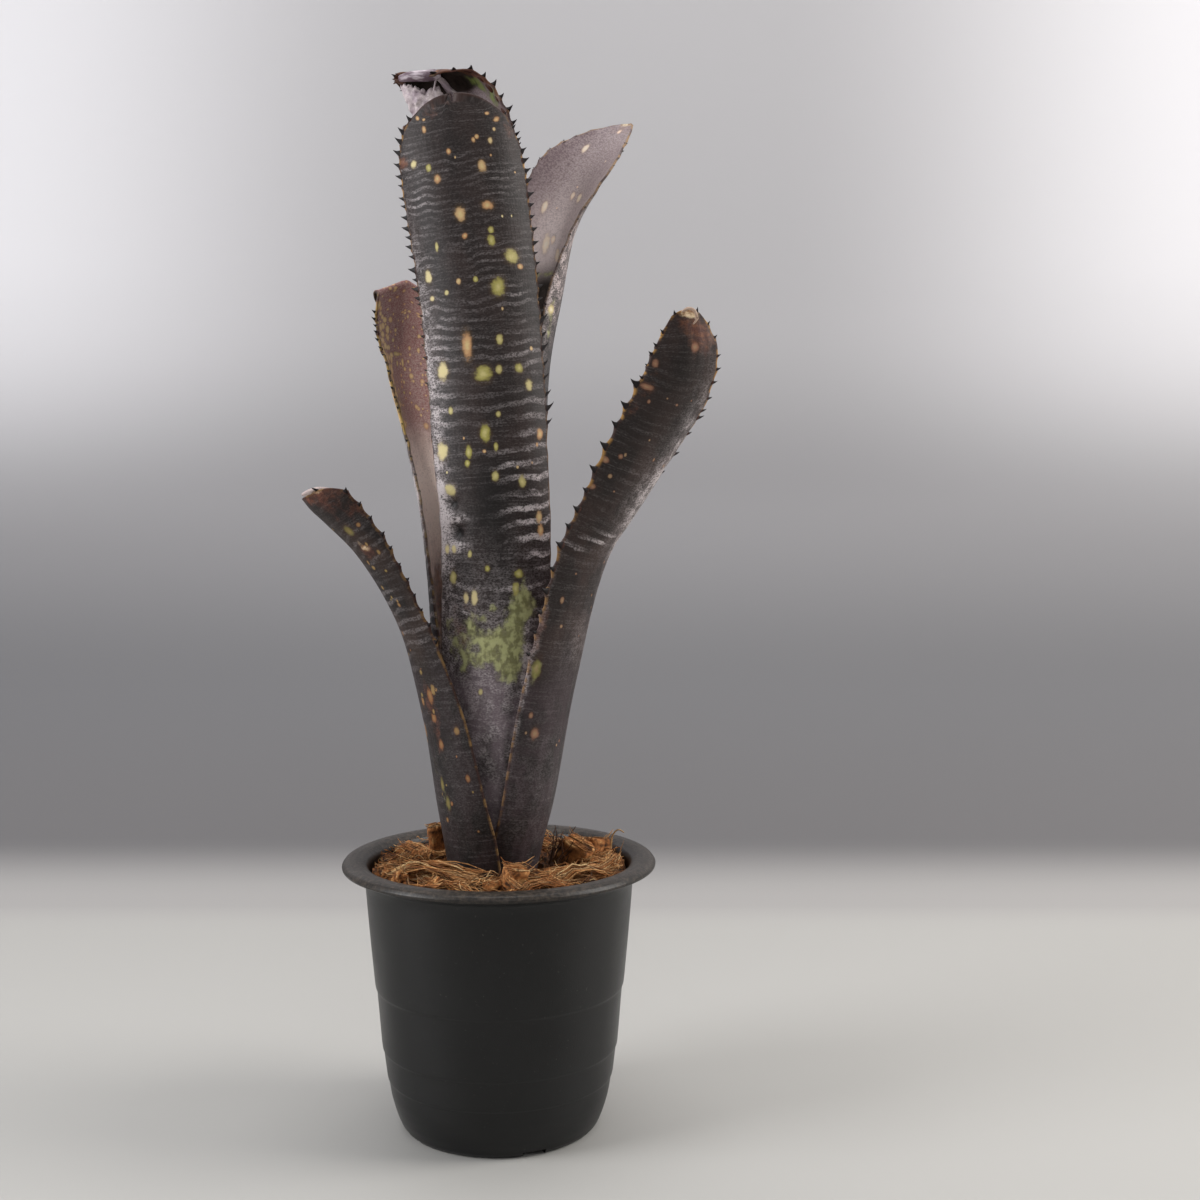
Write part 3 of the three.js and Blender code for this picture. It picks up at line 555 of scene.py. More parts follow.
def midrib(leaf):
    """The midrib's frames: place, direction, outward normal, side, half width, bow"""
    stations = np.array(leaf["stations"], float)
    steps = (len(stations) - 1) * FINE
    rows = between(stations, np.arange(steps + 1) / FINE)
    place = rows[:, :3] + np.array([ROSETTE_X, 0, 0])
    reached = np.concatenate([[0], np.cumsum(np.linalg.norm(np.diff(place, axis=0), axis=1))])
    order = np.arange(steps + 1)
    along = unit(place[np.minimum(order + 1, steps)] - place[np.maximum(order - 1, 0)])
    angle = math.radians(leaf["facing"])
    normal = np.array([math.cos(angle), math.sin(angle), 0.0])
    rolled = []
    for k in order:
        normal = unit(normal - along[k] * (normal @ along[k]))
        roll = math.radians(rows[k, 5])
        rolled.append(normal * math.cos(roll) + np.cross(along[k], normal) * math.sin(roll))
    rolled = np.array(rolled)
    left = reached[-1] - reached
    share = np.clip(1 - left / leaf["tip"], 0, 1)
    taper = np.maximum((1 - share ** leaf["blunt"]) ** (1 / leaf["blunt"]), 0.05)
    cap = leaf.get("cap", {"from": 0, "to": 1, "peak": 0, "drop": 0})
    reach = np.clip((reached - cap["from"]) / (cap["to"] - cap["from"]), 0, 1)
    return {
        "place": place,
        "along": along,
        "normal": rolled,
        "side": np.cross(along, rolled),
        "half": rows[:, 3] * taper,
        "bow": rows[:, 4],
        "sag": cap["drop"] * reach**2 * (3 - 2 * reach),
        "peak": np.full(len(reached), float(cap["peak"])),
        "at": reached,
    }


def blade_points(rib, u):
    """Middle surface of the blade and its normals, for one u or a row of them per frame"""
    u = np.asarray(u, float)
    angle = u * rib["half"][:, None] / rib["bow"][:, None]
    bow = rib["bow"][:, None, None]
    sine = np.sin(angle)[..., None]
    cosine = np.cos(angle)[..., None]
    normal = rib["normal"][:, None, :]
    side = rib["side"][:, None, :]
    points = rib["place"][:, None, :] + normal * bow * (cosine - 1) + side * bow * sine
    fall = rib["sag"][:, None] * np.abs(u - rib["peak"][:, None]) ** CAP_ROUNDING
    points[..., 2] -= fall
    return points, normal * cosine + side * sine


def spine_places(leaf, seed):
    """Where each spine grows: side, distance along the midrib, size and hook"""
    draw = seeded(seed)
    places = []
    for side, at, end, step, full, *hook in leaf["spines"]:
        while at < end:
            size = full * (0.75 + 0.4 * next(draw))
            places.append((side, at, size, hook[0] if hook else SPINE_HOOK))
            at += step * (0.85 + 0.3 * next(draw))
    return places


def scallops(rib, spines, side):
    """How far the margin swells out towards the root of each of its spines"""
    swell = np.zeros(len(rib["at"]))
    for its_side, at, size, _ in spines:
        if its_side == side:
            near = np.exp(-np.abs(rib["at"] - at) / (0.55 * size))
            swell = np.maximum(swell, 0.42 * size * near)
    return swell


def relief(name, rib, u, height):
    """Small rises and hollows of the blade: broad waves, pleats and the dents"""
    at = rib["at"][:, None]
    across = u[None, :] * rib["half"][:, None]
    calm = np.clip((at - 20) / 60, 0, 1)
    rise = 0.28 * calm * ripple(across / 26, at / 60, len(name))
    rise = rise + 0.06 * ripple(across / 3.1, at / 90, len(name) + 1)
    rise = rise + 0.22 * calm * np.abs(u[None, :]) ** 6 * ripple(at / 9, across * 0, 5)
    for where, side, depth, radius in DENTS.get(name, []):
        away = (height - where) ** 2 + (across - side * rib["half"][:, None]) ** 2
        rise = rise - depth * np.exp(-away / radius**2)
    return rise


def end_drop(name, rib, u):
    """How far the blade's end is lowered beside its point"""
    if name not in POINTED:
        return 0.0
    shape = POINTED[name]
    near = np.clip(1 - (rib["at"][-1] - rib["at"]) / shape["reach"], 0, 1) ** 1.5
    beside = 1 - np.exp(-(((u - shape["point"]) / shape["width"]) ** 2))
    inside = np.clip((1 - np.abs(u)) / 0.25, 0, 1)
    return shape["drop"] * near[:, None] * (beside * inside)[None, :]


def patch_field(patches, rib, u, height):
    """The sum of soft patches over the blade"""
    across = u[None, :] * rib["half"][:, None]
    total = np.zeros(height.shape)
    for where, side, length, width, strength in patches:
        middle = side * rib["half"][:, None]
        away = ((height - where) / length) ** 2 + ((across - middle) / width) ** 2
        total = total + strength * np.exp(-away)
    return total


def band_phase(name, rib, u):
    """Counts the cross bands along the leaf: whole numbers lie on a band"""
    places, spacings = BAND_SPACING[name]
    fine = np.linspace(0, rib["at"][-1], BAND_SAMPLES)
    passed = np.diff(fine) / np.interp(fine[1:], places, spacings)
    count = np.concatenate([[0], np.cumsum(passed)])
    across = u[None, :] * rib["half"][:, None]
    level = rib["at"][:, None] - BAND_SLOPE * np.abs(across)
    level = level + BAND_WAVE * ripple(across / 11, level / 34, len(name) + 2)
    return np.interp(level, fine, count) - np.interp(BAND_AT, fine, count)


def all_spots(name, rib):
    """Each spot as across, along, half width, half length and tint, on the blade"""
    draw = random.Random(len(name) * 7)
    spots = list(SPOTS[name])
    for count, low, high, left, right, least, most, first, last, stretch in SPECKS[name]:
        for _ in range(count):
            size = draw.uniform(least, most)
            place = [draw.uniform(low, high), draw.uniform(left, right)]
            shape = [size * draw.uniform(1, 1.4), size * stretch * draw.uniform(0.9, 1.3)]
            spots.append(place + shape + [draw.uniform(first, last)])
    found = []
    for where, side, length, width, tint in spots:
        line = blade_points(rib, np.full((len(rib["at"]), 1), side))[0][:, 0, 2]
        k = int(np.argmin(np.abs(line - where)))
        half_size = [SPOT_HALF * width, SPOT_HALF * length]
        found.append([side * rib["half"][k], rib["at"][k], *half_size, tint])
    return np.array(found)


def read_all(parts, key, kind):
    """One number from each of a mesh's parts"""
    numbers = np.empty(len(parts), kind)
    parts.foreach_get(key, numbers)
    return numbers


def mark_spots(thing, spots):
    """Gives each face's corners their offset from the face's nearest spot, in its radii"""
    mesh = thing.data
    across = read_all(mesh.attributes["across"].data, "value", np.float32)
    along = read_all(mesh.attributes["along"].data, "value", np.float32)
    owner = read_all(mesh.loops, "vertex_index", np.int64)
    totals = read_all(mesh.polygons, "loop_total", np.int64)
    face = np.repeat(np.arange(len(totals)), totals)
    corner = np.stack([across[owner], along[owner]], axis=1)
    middle = np.zeros((len(totals), 2))
    np.add.at(middle, face, corner)
    middle /= totals[:, None]
    nearest = np.zeros(len(totals), np.int64)
    best = np.full(len(totals), np.inf)
    for k, spot in enumerate(spots):
        away = np.hypot(*((middle - spot[:2]) / spot[2:4]).T)
        nearest = np.where(away < best, k, nearest)
        best = np.minimum(best, away)
    its = spots[nearest[face]]
    offset = np.column_stack([(corner - its[:, :2]) / its[:, 2:4], its[:, 4]])
    attribute = mesh.attributes.new("spot", "FLOAT_VECTOR", "CORNER")
    attribute.data.foreach_set("vector", offset.astype(np.float32).ravel())


def end_faces(columns, rows):
    """Closes the two ends of a blade whose rings hold both faces and two lips"""
    ring = 2 * columns + 2
    faces = []
    for base in (0, (rows - 1) * ring):
        for j in range(columns - 1):
            far = base + 2 * columns - j
            faces.append((base + j, base + j + 1, far - 1, far))
        faces.append((base + columns - 1, base + columns, base + columns + 1))
        faces.append((base, base + ring - 1, base + 2 * columns))
    return faces


def round_blade(field, back=None):
    """A field given on the blade's columns, carried round its outer face, lips and back"""
    ends = field[:, [0, -1]]
    inner = field[:, ::-1] if back is None else np.full(field.shape, back)
    return np.concatenate([field, ends[:, 1:], inner, ends[:, :1]], axis=1)


def blade_fields(name, rib, u, height):
    """The numbers that the leaf's material reads, on the blade's columns"""
    half = rib["half"][:, None]
    across = u[None, :] * half
    tip = np.maximum(rib["at"][-1] - rib["at"], 0)[:, None]
    fields = {
        "across": across,
        "along": np.repeat(rib["at"][:, None], len(u), axis=1),
        "height": height,
        "rim": np.minimum(half - np.abs(across), tip),
        "band": band_phase(name, rib, u),
        "amber": np.interp(height, *AMBER[name]),
    }
    for key in PATCH_KINDS:
        fields[key] = patch_field(PATCHES[name].get(key, []), rib, u, height)
    return fields


def blade_into(pile, name, rib, spines):
    """The blade as closed rings: its outer face, a lip, its inner face, the other lip"""
    u = np.linspace(-1, 1, BLADE_COLUMNS + 1)
    right = scallops(rib, spines, 1)[:, None]
    left = scallops(rib, spines, -1)[:, None]
    swell = np.where(u[None, :] > 0, right, left) / np.maximum(rib["half"][:, None], 1)
    middle, normal = blade_points(rib, u[None, :] * (1 + np.abs(u) ** 10 * swell))
    height = middle[..., 2]
    middle = middle + normal * relief(name, rib, u, height)[..., None]
    middle[..., 2] -= end_drop(name, rib, u)
    thick = (BLADE_MIDDLE + (BLADE_EDGE - BLADE_MIDDLE) * np.abs(u))[None, :, None]
    out = unit(middle[:, [0, -1]] - middle[:, [1, -2]])
    lips = middle[:, [0, -1]] + out * BLADE_EDGE * LIP_SHARE
    outer = middle + normal * thick / 2
    inner = middle - normal * thick / 2
    loop = np.concatenate([outer, lips[:, 1:], inner[:, ::-1], lips[:, :1]], axis=1)
    rows, ring = loop.shape[:2]
    fields = blade_fields(name, rib, u, height)
    values = {key: round_blade(field) for key, field in fields.items()}
    values["outer"] = round_blade(np.ones(height.shape), 0.0)
    pile.add(loop, loop_faces(rows, ring) + end_faces(len(u), rows), **values)


def spine_into(pile, rib, side, at, size, hook):
    """A hooked spine with a broad root, flattened like the blade that it grows from"""
    k = int(np.clip(np.searchsorted(rib["at"], at), 2, len(rib["at"]) - 3))
    window = {key: value[k - 2 : k + 3] for key, value in rib.items()}
    points, normals = blade_points(window, np.full((5, 1), float(side)))
    root = points[2, 0]
    normal = normals[2, 0]
    along = unit(points[4, 0] - points[0, 0])
    flat = np.cross(along, normal) * side
    splay = math.radians(SPINE_SPLAY)
    out = flat * math.cos(splay) + normal * math.sin(splay)
    normal = normal * math.cos(splay) - flat * math.sin(splay)
    reach = np.linspace(-0.3, 1, SPINE_RINGS)
    wide = size * (0.05 + 0.42 * np.clip(1 - reach, 0, 1) ** 1.5)
    wide = wide * np.where(reach > 0.99, 0.2, 1)
    deep = np.minimum(0.42 - 0.1 * reach, wide)
    path = root + out * (reach * size)[:, None]
    path = path + along * (hook * size * np.clip(reach, 0, 1) ** 2)[:, None]
    turns = circle(SPINE_SIDES)
    ring = (
        along[None, None, :] * (wide[:, None] * np.cos(turns))[..., None]
        + normal[None, None, :] * (deep[:, None] * np.sin(turns))[..., None]
    )
    faces = loop_faces(SPINE_RINGS, SPINE_SIDES)
    faces.append(tuple(range(SPINE_SIDES)))
    faces.append(tuple((SPINE_RINGS - 1) * SPINE_SIDES + j for j in range(SPINE_SIDES)))
    thorn = np.repeat(np.clip(reach + 0.25, 0.02, 1), SPINE_SIDES)
    place = {"across": side * SPINE_ACROSS, "along": at, "height": root[2], "rim": OFF_RIM}
    pile.add(path[:, None, :] + ring, faces, thorn=thorn, outer=1.0, **place)


def dead_into(pile, points, faces, tone):
    """Adds dead tissue, whose x and z stand in for its place on the blade"""
    place = {"across": points[:, 0], "along": points[:, 2], "rim": OFF_RIM}
    pile.add(points, faces, scrap=tone, **place)


def scrap_into(pile, path, radii, flat, tone):
    """A dried and curled bit of blade, as a smooth flattened tube"""
    t = np.linspace(0, len(path) - 1, 8 * len(path))
    route = between(np.array(path, float), t)
    widths = np.interp(t, np.arange(len(radii)), radii)
    points, faces = tube(route, widths, 12, flat)
    dead_into(pile, points, faces, tone)


def sheet_faces(n):
    """Faces of a thin closed sheet: n by n points, as many behind them, and its rim"""
    half = n * n
    faces = []
    for i in range(n - 1):
        for j in range(n - 1):
            quad = (i * n + j, (i + 1) * n + j, (i + 1) * n + j + 1, i * n + j + 1)
            faces.append(quad)
            faces.append(tuple(k + half for k in reversed(quad)))
    edge = [i * n for i in range(n)] + [(n - 1) * n + j for j in range(1, n)]
    edge += [i * n + n - 1 for i in range(n - 2, -1, -1)] + list(range(n - 2, 0, -1))
    for a, b in zip(edge, edge[1:] + edge[:1]):
        faces.append((a, b, b + half, a + half))
    return faces


def pouch_into(pile):
    """A thin, closed and crinkled sheet through the pouch's rows, with a ragged top"""
    n = POUCH_STEPS
    rows = np.array(POUCH)
    t = np.linspace(0, len(rows) - 1, n)
    rows = between(rows.reshape(len(rows), -1), t).reshape(n, -1, 3)
    columns = np.swapaxes(rows, 0, 1)
    grid = between(columns.reshape(len(columns), -1), t).reshape(n, n, 3)
    x, z = grid[..., 0].copy(), grid[..., 2].copy()
    top = np.clip(1 - np.arange(n) / POUCH_RAGGED_ROWS, 0, 1)
    grid[..., 2] += 1.1 * ripple(x / 1.4, x * 0, 33, 9) * top
    normal = unit(np.cross(np.gradient(grid, axis=0), np.gradient(grid, axis=1)))
    crinkle = 0.42 * ripple(x / 2.6, z / 2.6, 31, 9) + 0.16 * ripple(x / 1.1, z / 1.1, 32, 9)
    grid = grid + normal * crinkle[..., None]
    thick = normal * POUCH_HALF_THICKNESS
    sheets = np.concatenate([grid + thick, grid - thick]).reshape(-1, 3)
    tone = np.tile((1 - 0.12 * np.clip(crinkle, 0, 1)).ravel(), 2)
    dead_into(pile, sheets, sheet_faces(n), tone)


# Node materials


def paint(code):
    """Linear colour from a 0xRRGGBB screen colour"""
    parts = [((code >> shift) & 255) / 255 for shift in (16, 8, 0)]
    linear = [c / 12.92 if c <= 0.04045 else ((c + 0.055) / 1.055) ** 2.4 for c in parts]
    return (*linear, 1.0)


class Look:
    """A node material, with short calls for the nodes that the looks are made of"""

    def __init__(self, name):
        self.material = bpy.data.materials.new(name)
        self.material.use_nodes = True
        self.tree = self.material.node_tree
        self.shader = self.tree.nodes["Principled BSDF"]

    def put(self, socket, value):
        if isinstance(value, bpy.types.NodeSocket):
            self.tree.links.new(value, socket)
        else:
            socket.default_value = value

    def add(self, kind, inputs=None, **settings):
        node = self.tree.nodes.new("ShaderNode" + kind)
        for key, value in settings.items():
            setattr(node, key, value)
        for key, value in (inputs or {}).items():
            self.put(node.inputs[key], value)
        return node

    def value(self, name):
        return self.add("Attribute", attribute_name=name).outputs["Fac"]

    def math(self, operation, a, b=0.0, c=0.0):
        return self.add("Math", {0: a, 1: b, 2: c}, operation=operation).outputs[0]

    def fade(self, value, low, high, start=0.0, end=1.0):
        inputs = {"Value": value, "From Min": low, "From Max": high, "To Min": start, "To Max": end}
        node = self.add("MapRange", inputs, interpolation_type="SMOOTHSTEP")
        return node.outputs["Result"]

    def colour(self, value):
        """A 0xRRGGBB code as a linear colour; a socket stays as it is"""
        return paint(value) if isinstance(value, int) else value

    def mix(self, share, a, b):
        inputs = {0: share, 6: self.colour(a), 7: self.colour(b)}
        return self.add("Mix", inputs, data_type="RGBA").outputs[2]

    def blend(self, value, low, high, a, b):
        """Turns from colour a to colour b while a value goes from low to high"""
        return self.mix(self.fade(value, low, high), a, b)

    def mix_value(self, share, a, b):
        return self.add("Mix", {0: share, 2: a, 3: b}, data_type="FLOAT").outputs[0]

    def vector(self, x, y, z=0.0):
        return self.add("CombineXYZ", {0: x, 1: y, 2: z}).outputs[0]

    def noise(self, vector, scale, detail=3.0, rough=0.55):
        inputs = {"Vector": vector, "Scale": scale, "Detail": detail, "Roughness": rough}
        return self.add("TexNoise", inputs).outputs["Fac"]

    def times(self, *factors):
        result = factors[0]
        for factor in factors[1:]:
            result = self.math("MULTIPLY", result, factor)
        return result

    def ramp(self, value, stops):
        node = self.add("ValToRGB", {"Fac": value})
        node.color_ramp.interpolation = "EASE"
        elements = node.color_ramp.elements
        while len(elements) < len(stops):
            elements.new(0.5)
        for element, (place, code) in zip(elements, stops):
            element.position = place
            element.color = paint(code)
        return node.outputs["Color"]

    def stretched(self, place, scale, detail):
        """Noise with its own scale along each axis"""
        place = self.add("Mapping", {"Vector": place, "Scale": scale}).outputs[0]
        return self.noise(place, 1.0, detail)

    def bump(self, height, strength, distance, under=None):
        inputs = {"Height": height, "Strength": strength, "Distance": distance}
        if under is not None:
            inputs["Normal"] = under
        return self.add("Bump", inputs).outputs["Normal"]

    def finish(self, **sockets):
        for key, value in sockets.items():
            self.put(self.shader.inputs[key.replace("_", " ")], value)
        return self.material


LEAF_VALUES = (
    "across", "along", "height", "rim", "outer", "amber", "thorn", "band", "scrap", *PATCH_KINDS
)


class LeafLook(Look):
    """The material of one leaf, painted in the blade's own coordinates"""

    def __init__(self, name, looks):
        super().__init__(name + "_surface")
        self.looks = looks
        for key in LEAF_VALUES:
            setattr(self, key, self.value(key))
        self.grain = self.blade_noise(1.3, 1.9, 1, 3, 0.7)
        self.speck = self.fade(self.grain, 0.38, 0.66)
        self.ragged = self.blade_noise(0.45, 0.6, 2, 3)
        self.mottle = self.blade_noise(0.11, 0.06, 3, 4)
        self.broken = self.blade_noise(0.22, 0.28, 4, 3)
        self.cloud = self.blade_noise(0.3, 0.24, 12, 4)

    def blade_noise(self, per_across, per_along, seed, detail, rough=0.55):
        """Noise with so many features to a millimetre across and along the blade"""
        across = self.times(self.across, per_across)
        place = self.vector(across, self.times(self.along, per_along), seed * 7.3)
        return self.noise(place, 1.0, detail, rough)

    def colour(self, value):
        """Takes the names of the leaf's own colours too"""
        return super().colour(self.looks[value] if isinstance(value, str) else value)

    def off(self, noise, reach):
        """A noise centred on 0, times its reach"""
        return self.times(self.math("SUBTRACT", noise, 0.5), reach)

    def plus(self, *terms):
        total = terms[0]
        for term in terms[1:]:
            total = self.math("ADD", total, term)
        return total

    def scurf(self):
        """Silver scales in grainy cross bands and in even patches"""
        sway = self.off(self.blade_noise(0.09, 0.05, 13, 2), 0.8)
        phase = self.plus(self.band, sway, self.off(self.ragged, 0.3))
        wave = self.math("COSINE", self.times(phase, 2 * math.pi))
        thickness = self.fade(self.blade_noise(0.06, 0.11, 6, 3), 0.36, 0.66, 0.05, 1.4)
        banded = self.times(self.fade(wave, -0.1, 0.8), self.banded, thickness)
        # Even silver patches: scurf, and in places a painted sheen or highlight
        even = self.times(self.wash, self.fade(self.cloud, 0.38, 0.62, 0.3, 1.25))
        lines = self.fade(self.blade_noise(0.05, 1.2, 7, 3), 0.48, 0.72)
        lines = self.times(lines, self.looks["lines"])
        cover = self.plus(self.math("MAXIMUM", banded, even), lines)
        # The scales fade out under the painted shade
        cover = self.times(cover, self.fade(self.dusk, 0.3, 1.3, 1.0, 0.1))
        cover = self.times(cover, self.fade(self.grain, 0.37, 0.63, 0.18, 1.3))
        return self.math("MINIMUM", cover, 1.0)

    def outer_colour(self, scales):
        skin = self.blend(self.mottle, 0.35, 0.7, "dark", "dark_warm")
        foot = self.fade(self.height, self.looks["foot"] - 35, self.looks["foot"], 1.0, 0.0)
        low = self.blend(self.mottle, 0.42, 0.62, "low", "low_dark")
        skin = self.mix(foot, skin, low)
        skin = self.mix(self.times(self.speck, self.looks["dust"]), skin, "thread")
        # Painted shade: near black where the shade patches lie
        skin = self.blend(self.dusk, 0.1, 1.1, skin, 0x171413)
        return self.mix(self.times(scales, self.looks["scurf"]), skin, "silver")

    def inner_colour(self):
        streaks = self.blade_noise(0.9, 0.02, 9, 3)
        skin = self.blend(streaks, 0.3, 0.7, "inner", "inner_streak")
        low, high = self.looks["turn"]
        skin = self.blend(self.height, low, high, skin, "inner_top")
        skin = self.mix(self.times(self.fade(self.cloud, 0.45, 0.75), 0.4), skin, "inner_dark")
        # Painted sheen: the even silver patches lighten the inner face towards its pale colour
        lit = self.times(self.wash, self.fade(self.grain, 0.3, 0.62, 0.45, 1.1), 0.8)
        skin = self.mix(self.math("MINIMUM", lit, 0.95), skin, "inner_pale_and_sheen")
        skin = self.mix(self.times(self.speck, 0.22), skin, "inner_pale_and_sheen")
        pits = self.fade(self.blade_noise(1.3, 0.8, 14, 3, 0.65), 0.55, 0.75)
        skin = self.mix(self.times(pits, 0.35), skin, "inner_dark")
        # Painted shade: dark brown where the shade patches lie, inside the tube and under the hooded
        # tip
        painted_shade_tone = self.blend(self.cloud, 0.35, 0.65, 0x2A231E, 0x453A35)
        return self.blend(self.dusk, 0.4, 0.68, skin, painted_shade_tone)

    def with_stains(self, colour):
        """Red-brown and yellow-green patches, and dead tissue the colour of straw"""
        warm = self.plus(self.warm, self.off(self.cloud, 1.2), self.off(self.grain, 0.4))
        warm = self.fade(warm, 0.2, 0.9)
        tone = self.blend(self.ragged, 0.35, 0.65, 0x5A3024, "warm_tone")
        colour = self.mix(self.times(warm, self.fade(self.warm, 0.02, 0.2), 0.75), colour, tone)
        patchy = self.blade_noise(0.42, 0.3, 10, 2)
        field = self.plus(self.blotch, self.off(patchy, 1.3), self.off(self.grain, 0.2))
        green = self.times(self.fade(field, 0.3, 1.05), self.fade(self.blotch, 0.05, 0.4))
        tone = self.blend(patchy, 0.4, 0.62, *self.looks["greens"])
        colour = self.mix(self.times(green, 0.85), colour, tone)
        dead = self.plus(self.dried, self.off(self.cloud, 1.2))
        dead = self.times(self.fade(dead, 0.3, 0.7), self.fade(self.dried, 0.05, 0.25))
        tone = self.blend(self.ragged, 0.38, 0.62, 0x8F6747, 0xDBC6A4)
        return self.mix(dead, colour, tone)

    def with_spots(self, colour):
        """Pale spots with soft edges and a darker halo"""
        peach, cream, green, heart, halo = self.looks["spots"]
        node = self.add("Attribute", attribute_name="spot")
        parts = self.add("SeparateXYZ", {0: node.outputs["Vector"]}).outputs
        flat = self.vector(parts["X"], parts["Y"])
        away = self.add("VectorMath", {0: flat}, operation="LENGTH").outputs["Value"]
        away = self.plus(away, self.off(self.ragged, 1.0), self.off(self.grain, 0.4))
        colour = self.mix(self.times(self.fade(away, 0.9, 1.8, 1.0, 0.0), 0.3), colour, halo)
        tint = parts["Z"]
        warm = self.blend(tint, 0.0, 0.5, peach, cream)
        fill = self.blend(tint, 0.5, 1.0, warm, green)
        fill = self.mix(self.fade(away, 0.0, 0.75, 0.6, 0.0), fill, heart)
        core = self.fade(away, 0.6, 1.2, 1.0, 0.0)
        return self.mix(self.times(core, self.looks["spot"]), colour, fill)

    def with_margin(self, colour):
        """A dark edge with broken amber, then the spines"""
        near = self.fade(self.rim, 0.0, self.looks["margin"], 1.0, 0.0)
        colour = self.mix(self.times(near, 0.6), colour, 0x3D241D)
        amber = self.times(near, self.amber, self.fade(self.broken, 0.44, 0.58))
        colour = self.mix(amber, colour, "amber_tone")
        spine = self.blend(self.thorn, 0.1, 0.5, 0x4A2A20, 0x191213)
        return self.blend(self.thorn, 0.0, 0.05, colour, spine)

    def with_scraps(self, colour):
        """Curled and dried bits: brown, glossy mauve with painted highlight streaks, or pale, by
        their tone
        """
        pale = self.blend(self.cloud, 0.35, 0.6, 0xA3939A, 0xCFC2C2)
        folds = self.fade(self.blade_noise(0.9, 0.9, 15, 4, 0.7), 0.5, 0.7)
        pale = self.mix(self.times(folds, 0.6), pale, 0x77686E)
        # Painted highlights: pale streaks along the glossy roll
        streak = self.fade(self.blade_noise(0.2, 0.8, 16, 3), 0.4, 0.68)
        rolled = self.mix(streak, 0x6C5963, 0xD2C5CC)
        tone = self.blend(self.scrap, 0.15, 0.45, 0x4A3026, rolled)
        tone = self.blend(self.scrap, 0.55, 0.8, tone, 0xA98B6E)
        tone = self.blend(self.scrap, 0.8, 0.95, tone, pale)
        return self.blend(self.scrap, 0.0, 0.05, colour, tone)

    def roughness(self, scales):
        """Rough scales, a fully rough inner face where shade is painted, and a glossy roll"""
        outer_rough = self.fade(scales, 0.0, 1.0, 0.5, 0.75)
        rough = self.mix_value(self.outer, self.looks["inner_rough"], outer_rough)
        off_tone = self.math("ABSOLUTE", self.math("SUBTRACT", self.scrap, ROLL_TONE))
        rough = self.mix_value(self.fade(off_tone, 0.05, 0.15, 1.0, 0.0), rough, 0.2)
        dull = self.times(self.fade(self.dusk, 0.35, 0.6), self.math("SUBTRACT", 1.0, self.outer))
        return self.mix_value(dull, rough, 1.0)

    def surface(self):
        """The whole material, from the skin out to the dried scraps"""
        scales = self.scurf()
        skin = self.mix(self.outer, self.inner_colour(), self.outer_colour(scales))
        skin = self.with_margin(self.with_spots(self.with_stains(skin)))
        normal = self.bump(self.blade_noise(2.2, 0.03, 11, 3), self.looks["veins"], 0.0004)
        normal = self.bump(self.grain, 0.3, 0.0003, normal)
        self.shader.inputs["Specular IOR Level"].default_value = self.looks["shine"]
        rough = self.roughness(scales)
        return self.finish(Base_Color=self.with_scraps(skin), Roughness=rough, Normal=normal)


# Colours as 0xRRGGBB codes and strengths of the dark leaves, then what differs on others.
# "foot" is the height below which the low colours come in, and "turn" the heights between
# which the inner face changes colour; "spots" are peach, cream, green, heart and halo.
# The inner face's pale colour serves both its pale specks and its painted sheen.
DARK_LEAF = {
    "foot": 185, "scurf": 0.85, "lines": 0.09, "dust": 0.1, "dark": 0x201917,
    "dark_warm": 0x2C211E, "low": 0x6E6066, "low_dark": 0x40393A, "thread": 0x7E7474,
    "silver": 0xCEC4C4, "warm_tone": 0x8A5638, "inner": 0x6A585B, "inner_streak": 0x83706F,
    "inner_top": 0x77605F, "inner_dark": 0x4A3A3A, "inner_pale_and_sheen": 0xBDABAC, "inner_rough": 0.45,
    "turn": (300, 350), "spots": (0xC28E62, 0xDCCB98, 0xA69E50, 0xE2D598, 0x5E482C), "spot": 0.88,
    "greens": (0x7F7E52, 0xB6B780), "amber_tone": 0xB08442, "margin": 0.9, "veins": 0.15,
    "shine": 0.25,
}
PALE_SPOTS = (0xEECAAE, 0xFAE8CC, 0xD0BE7C, 0xFFF6E4, 0xA08074)
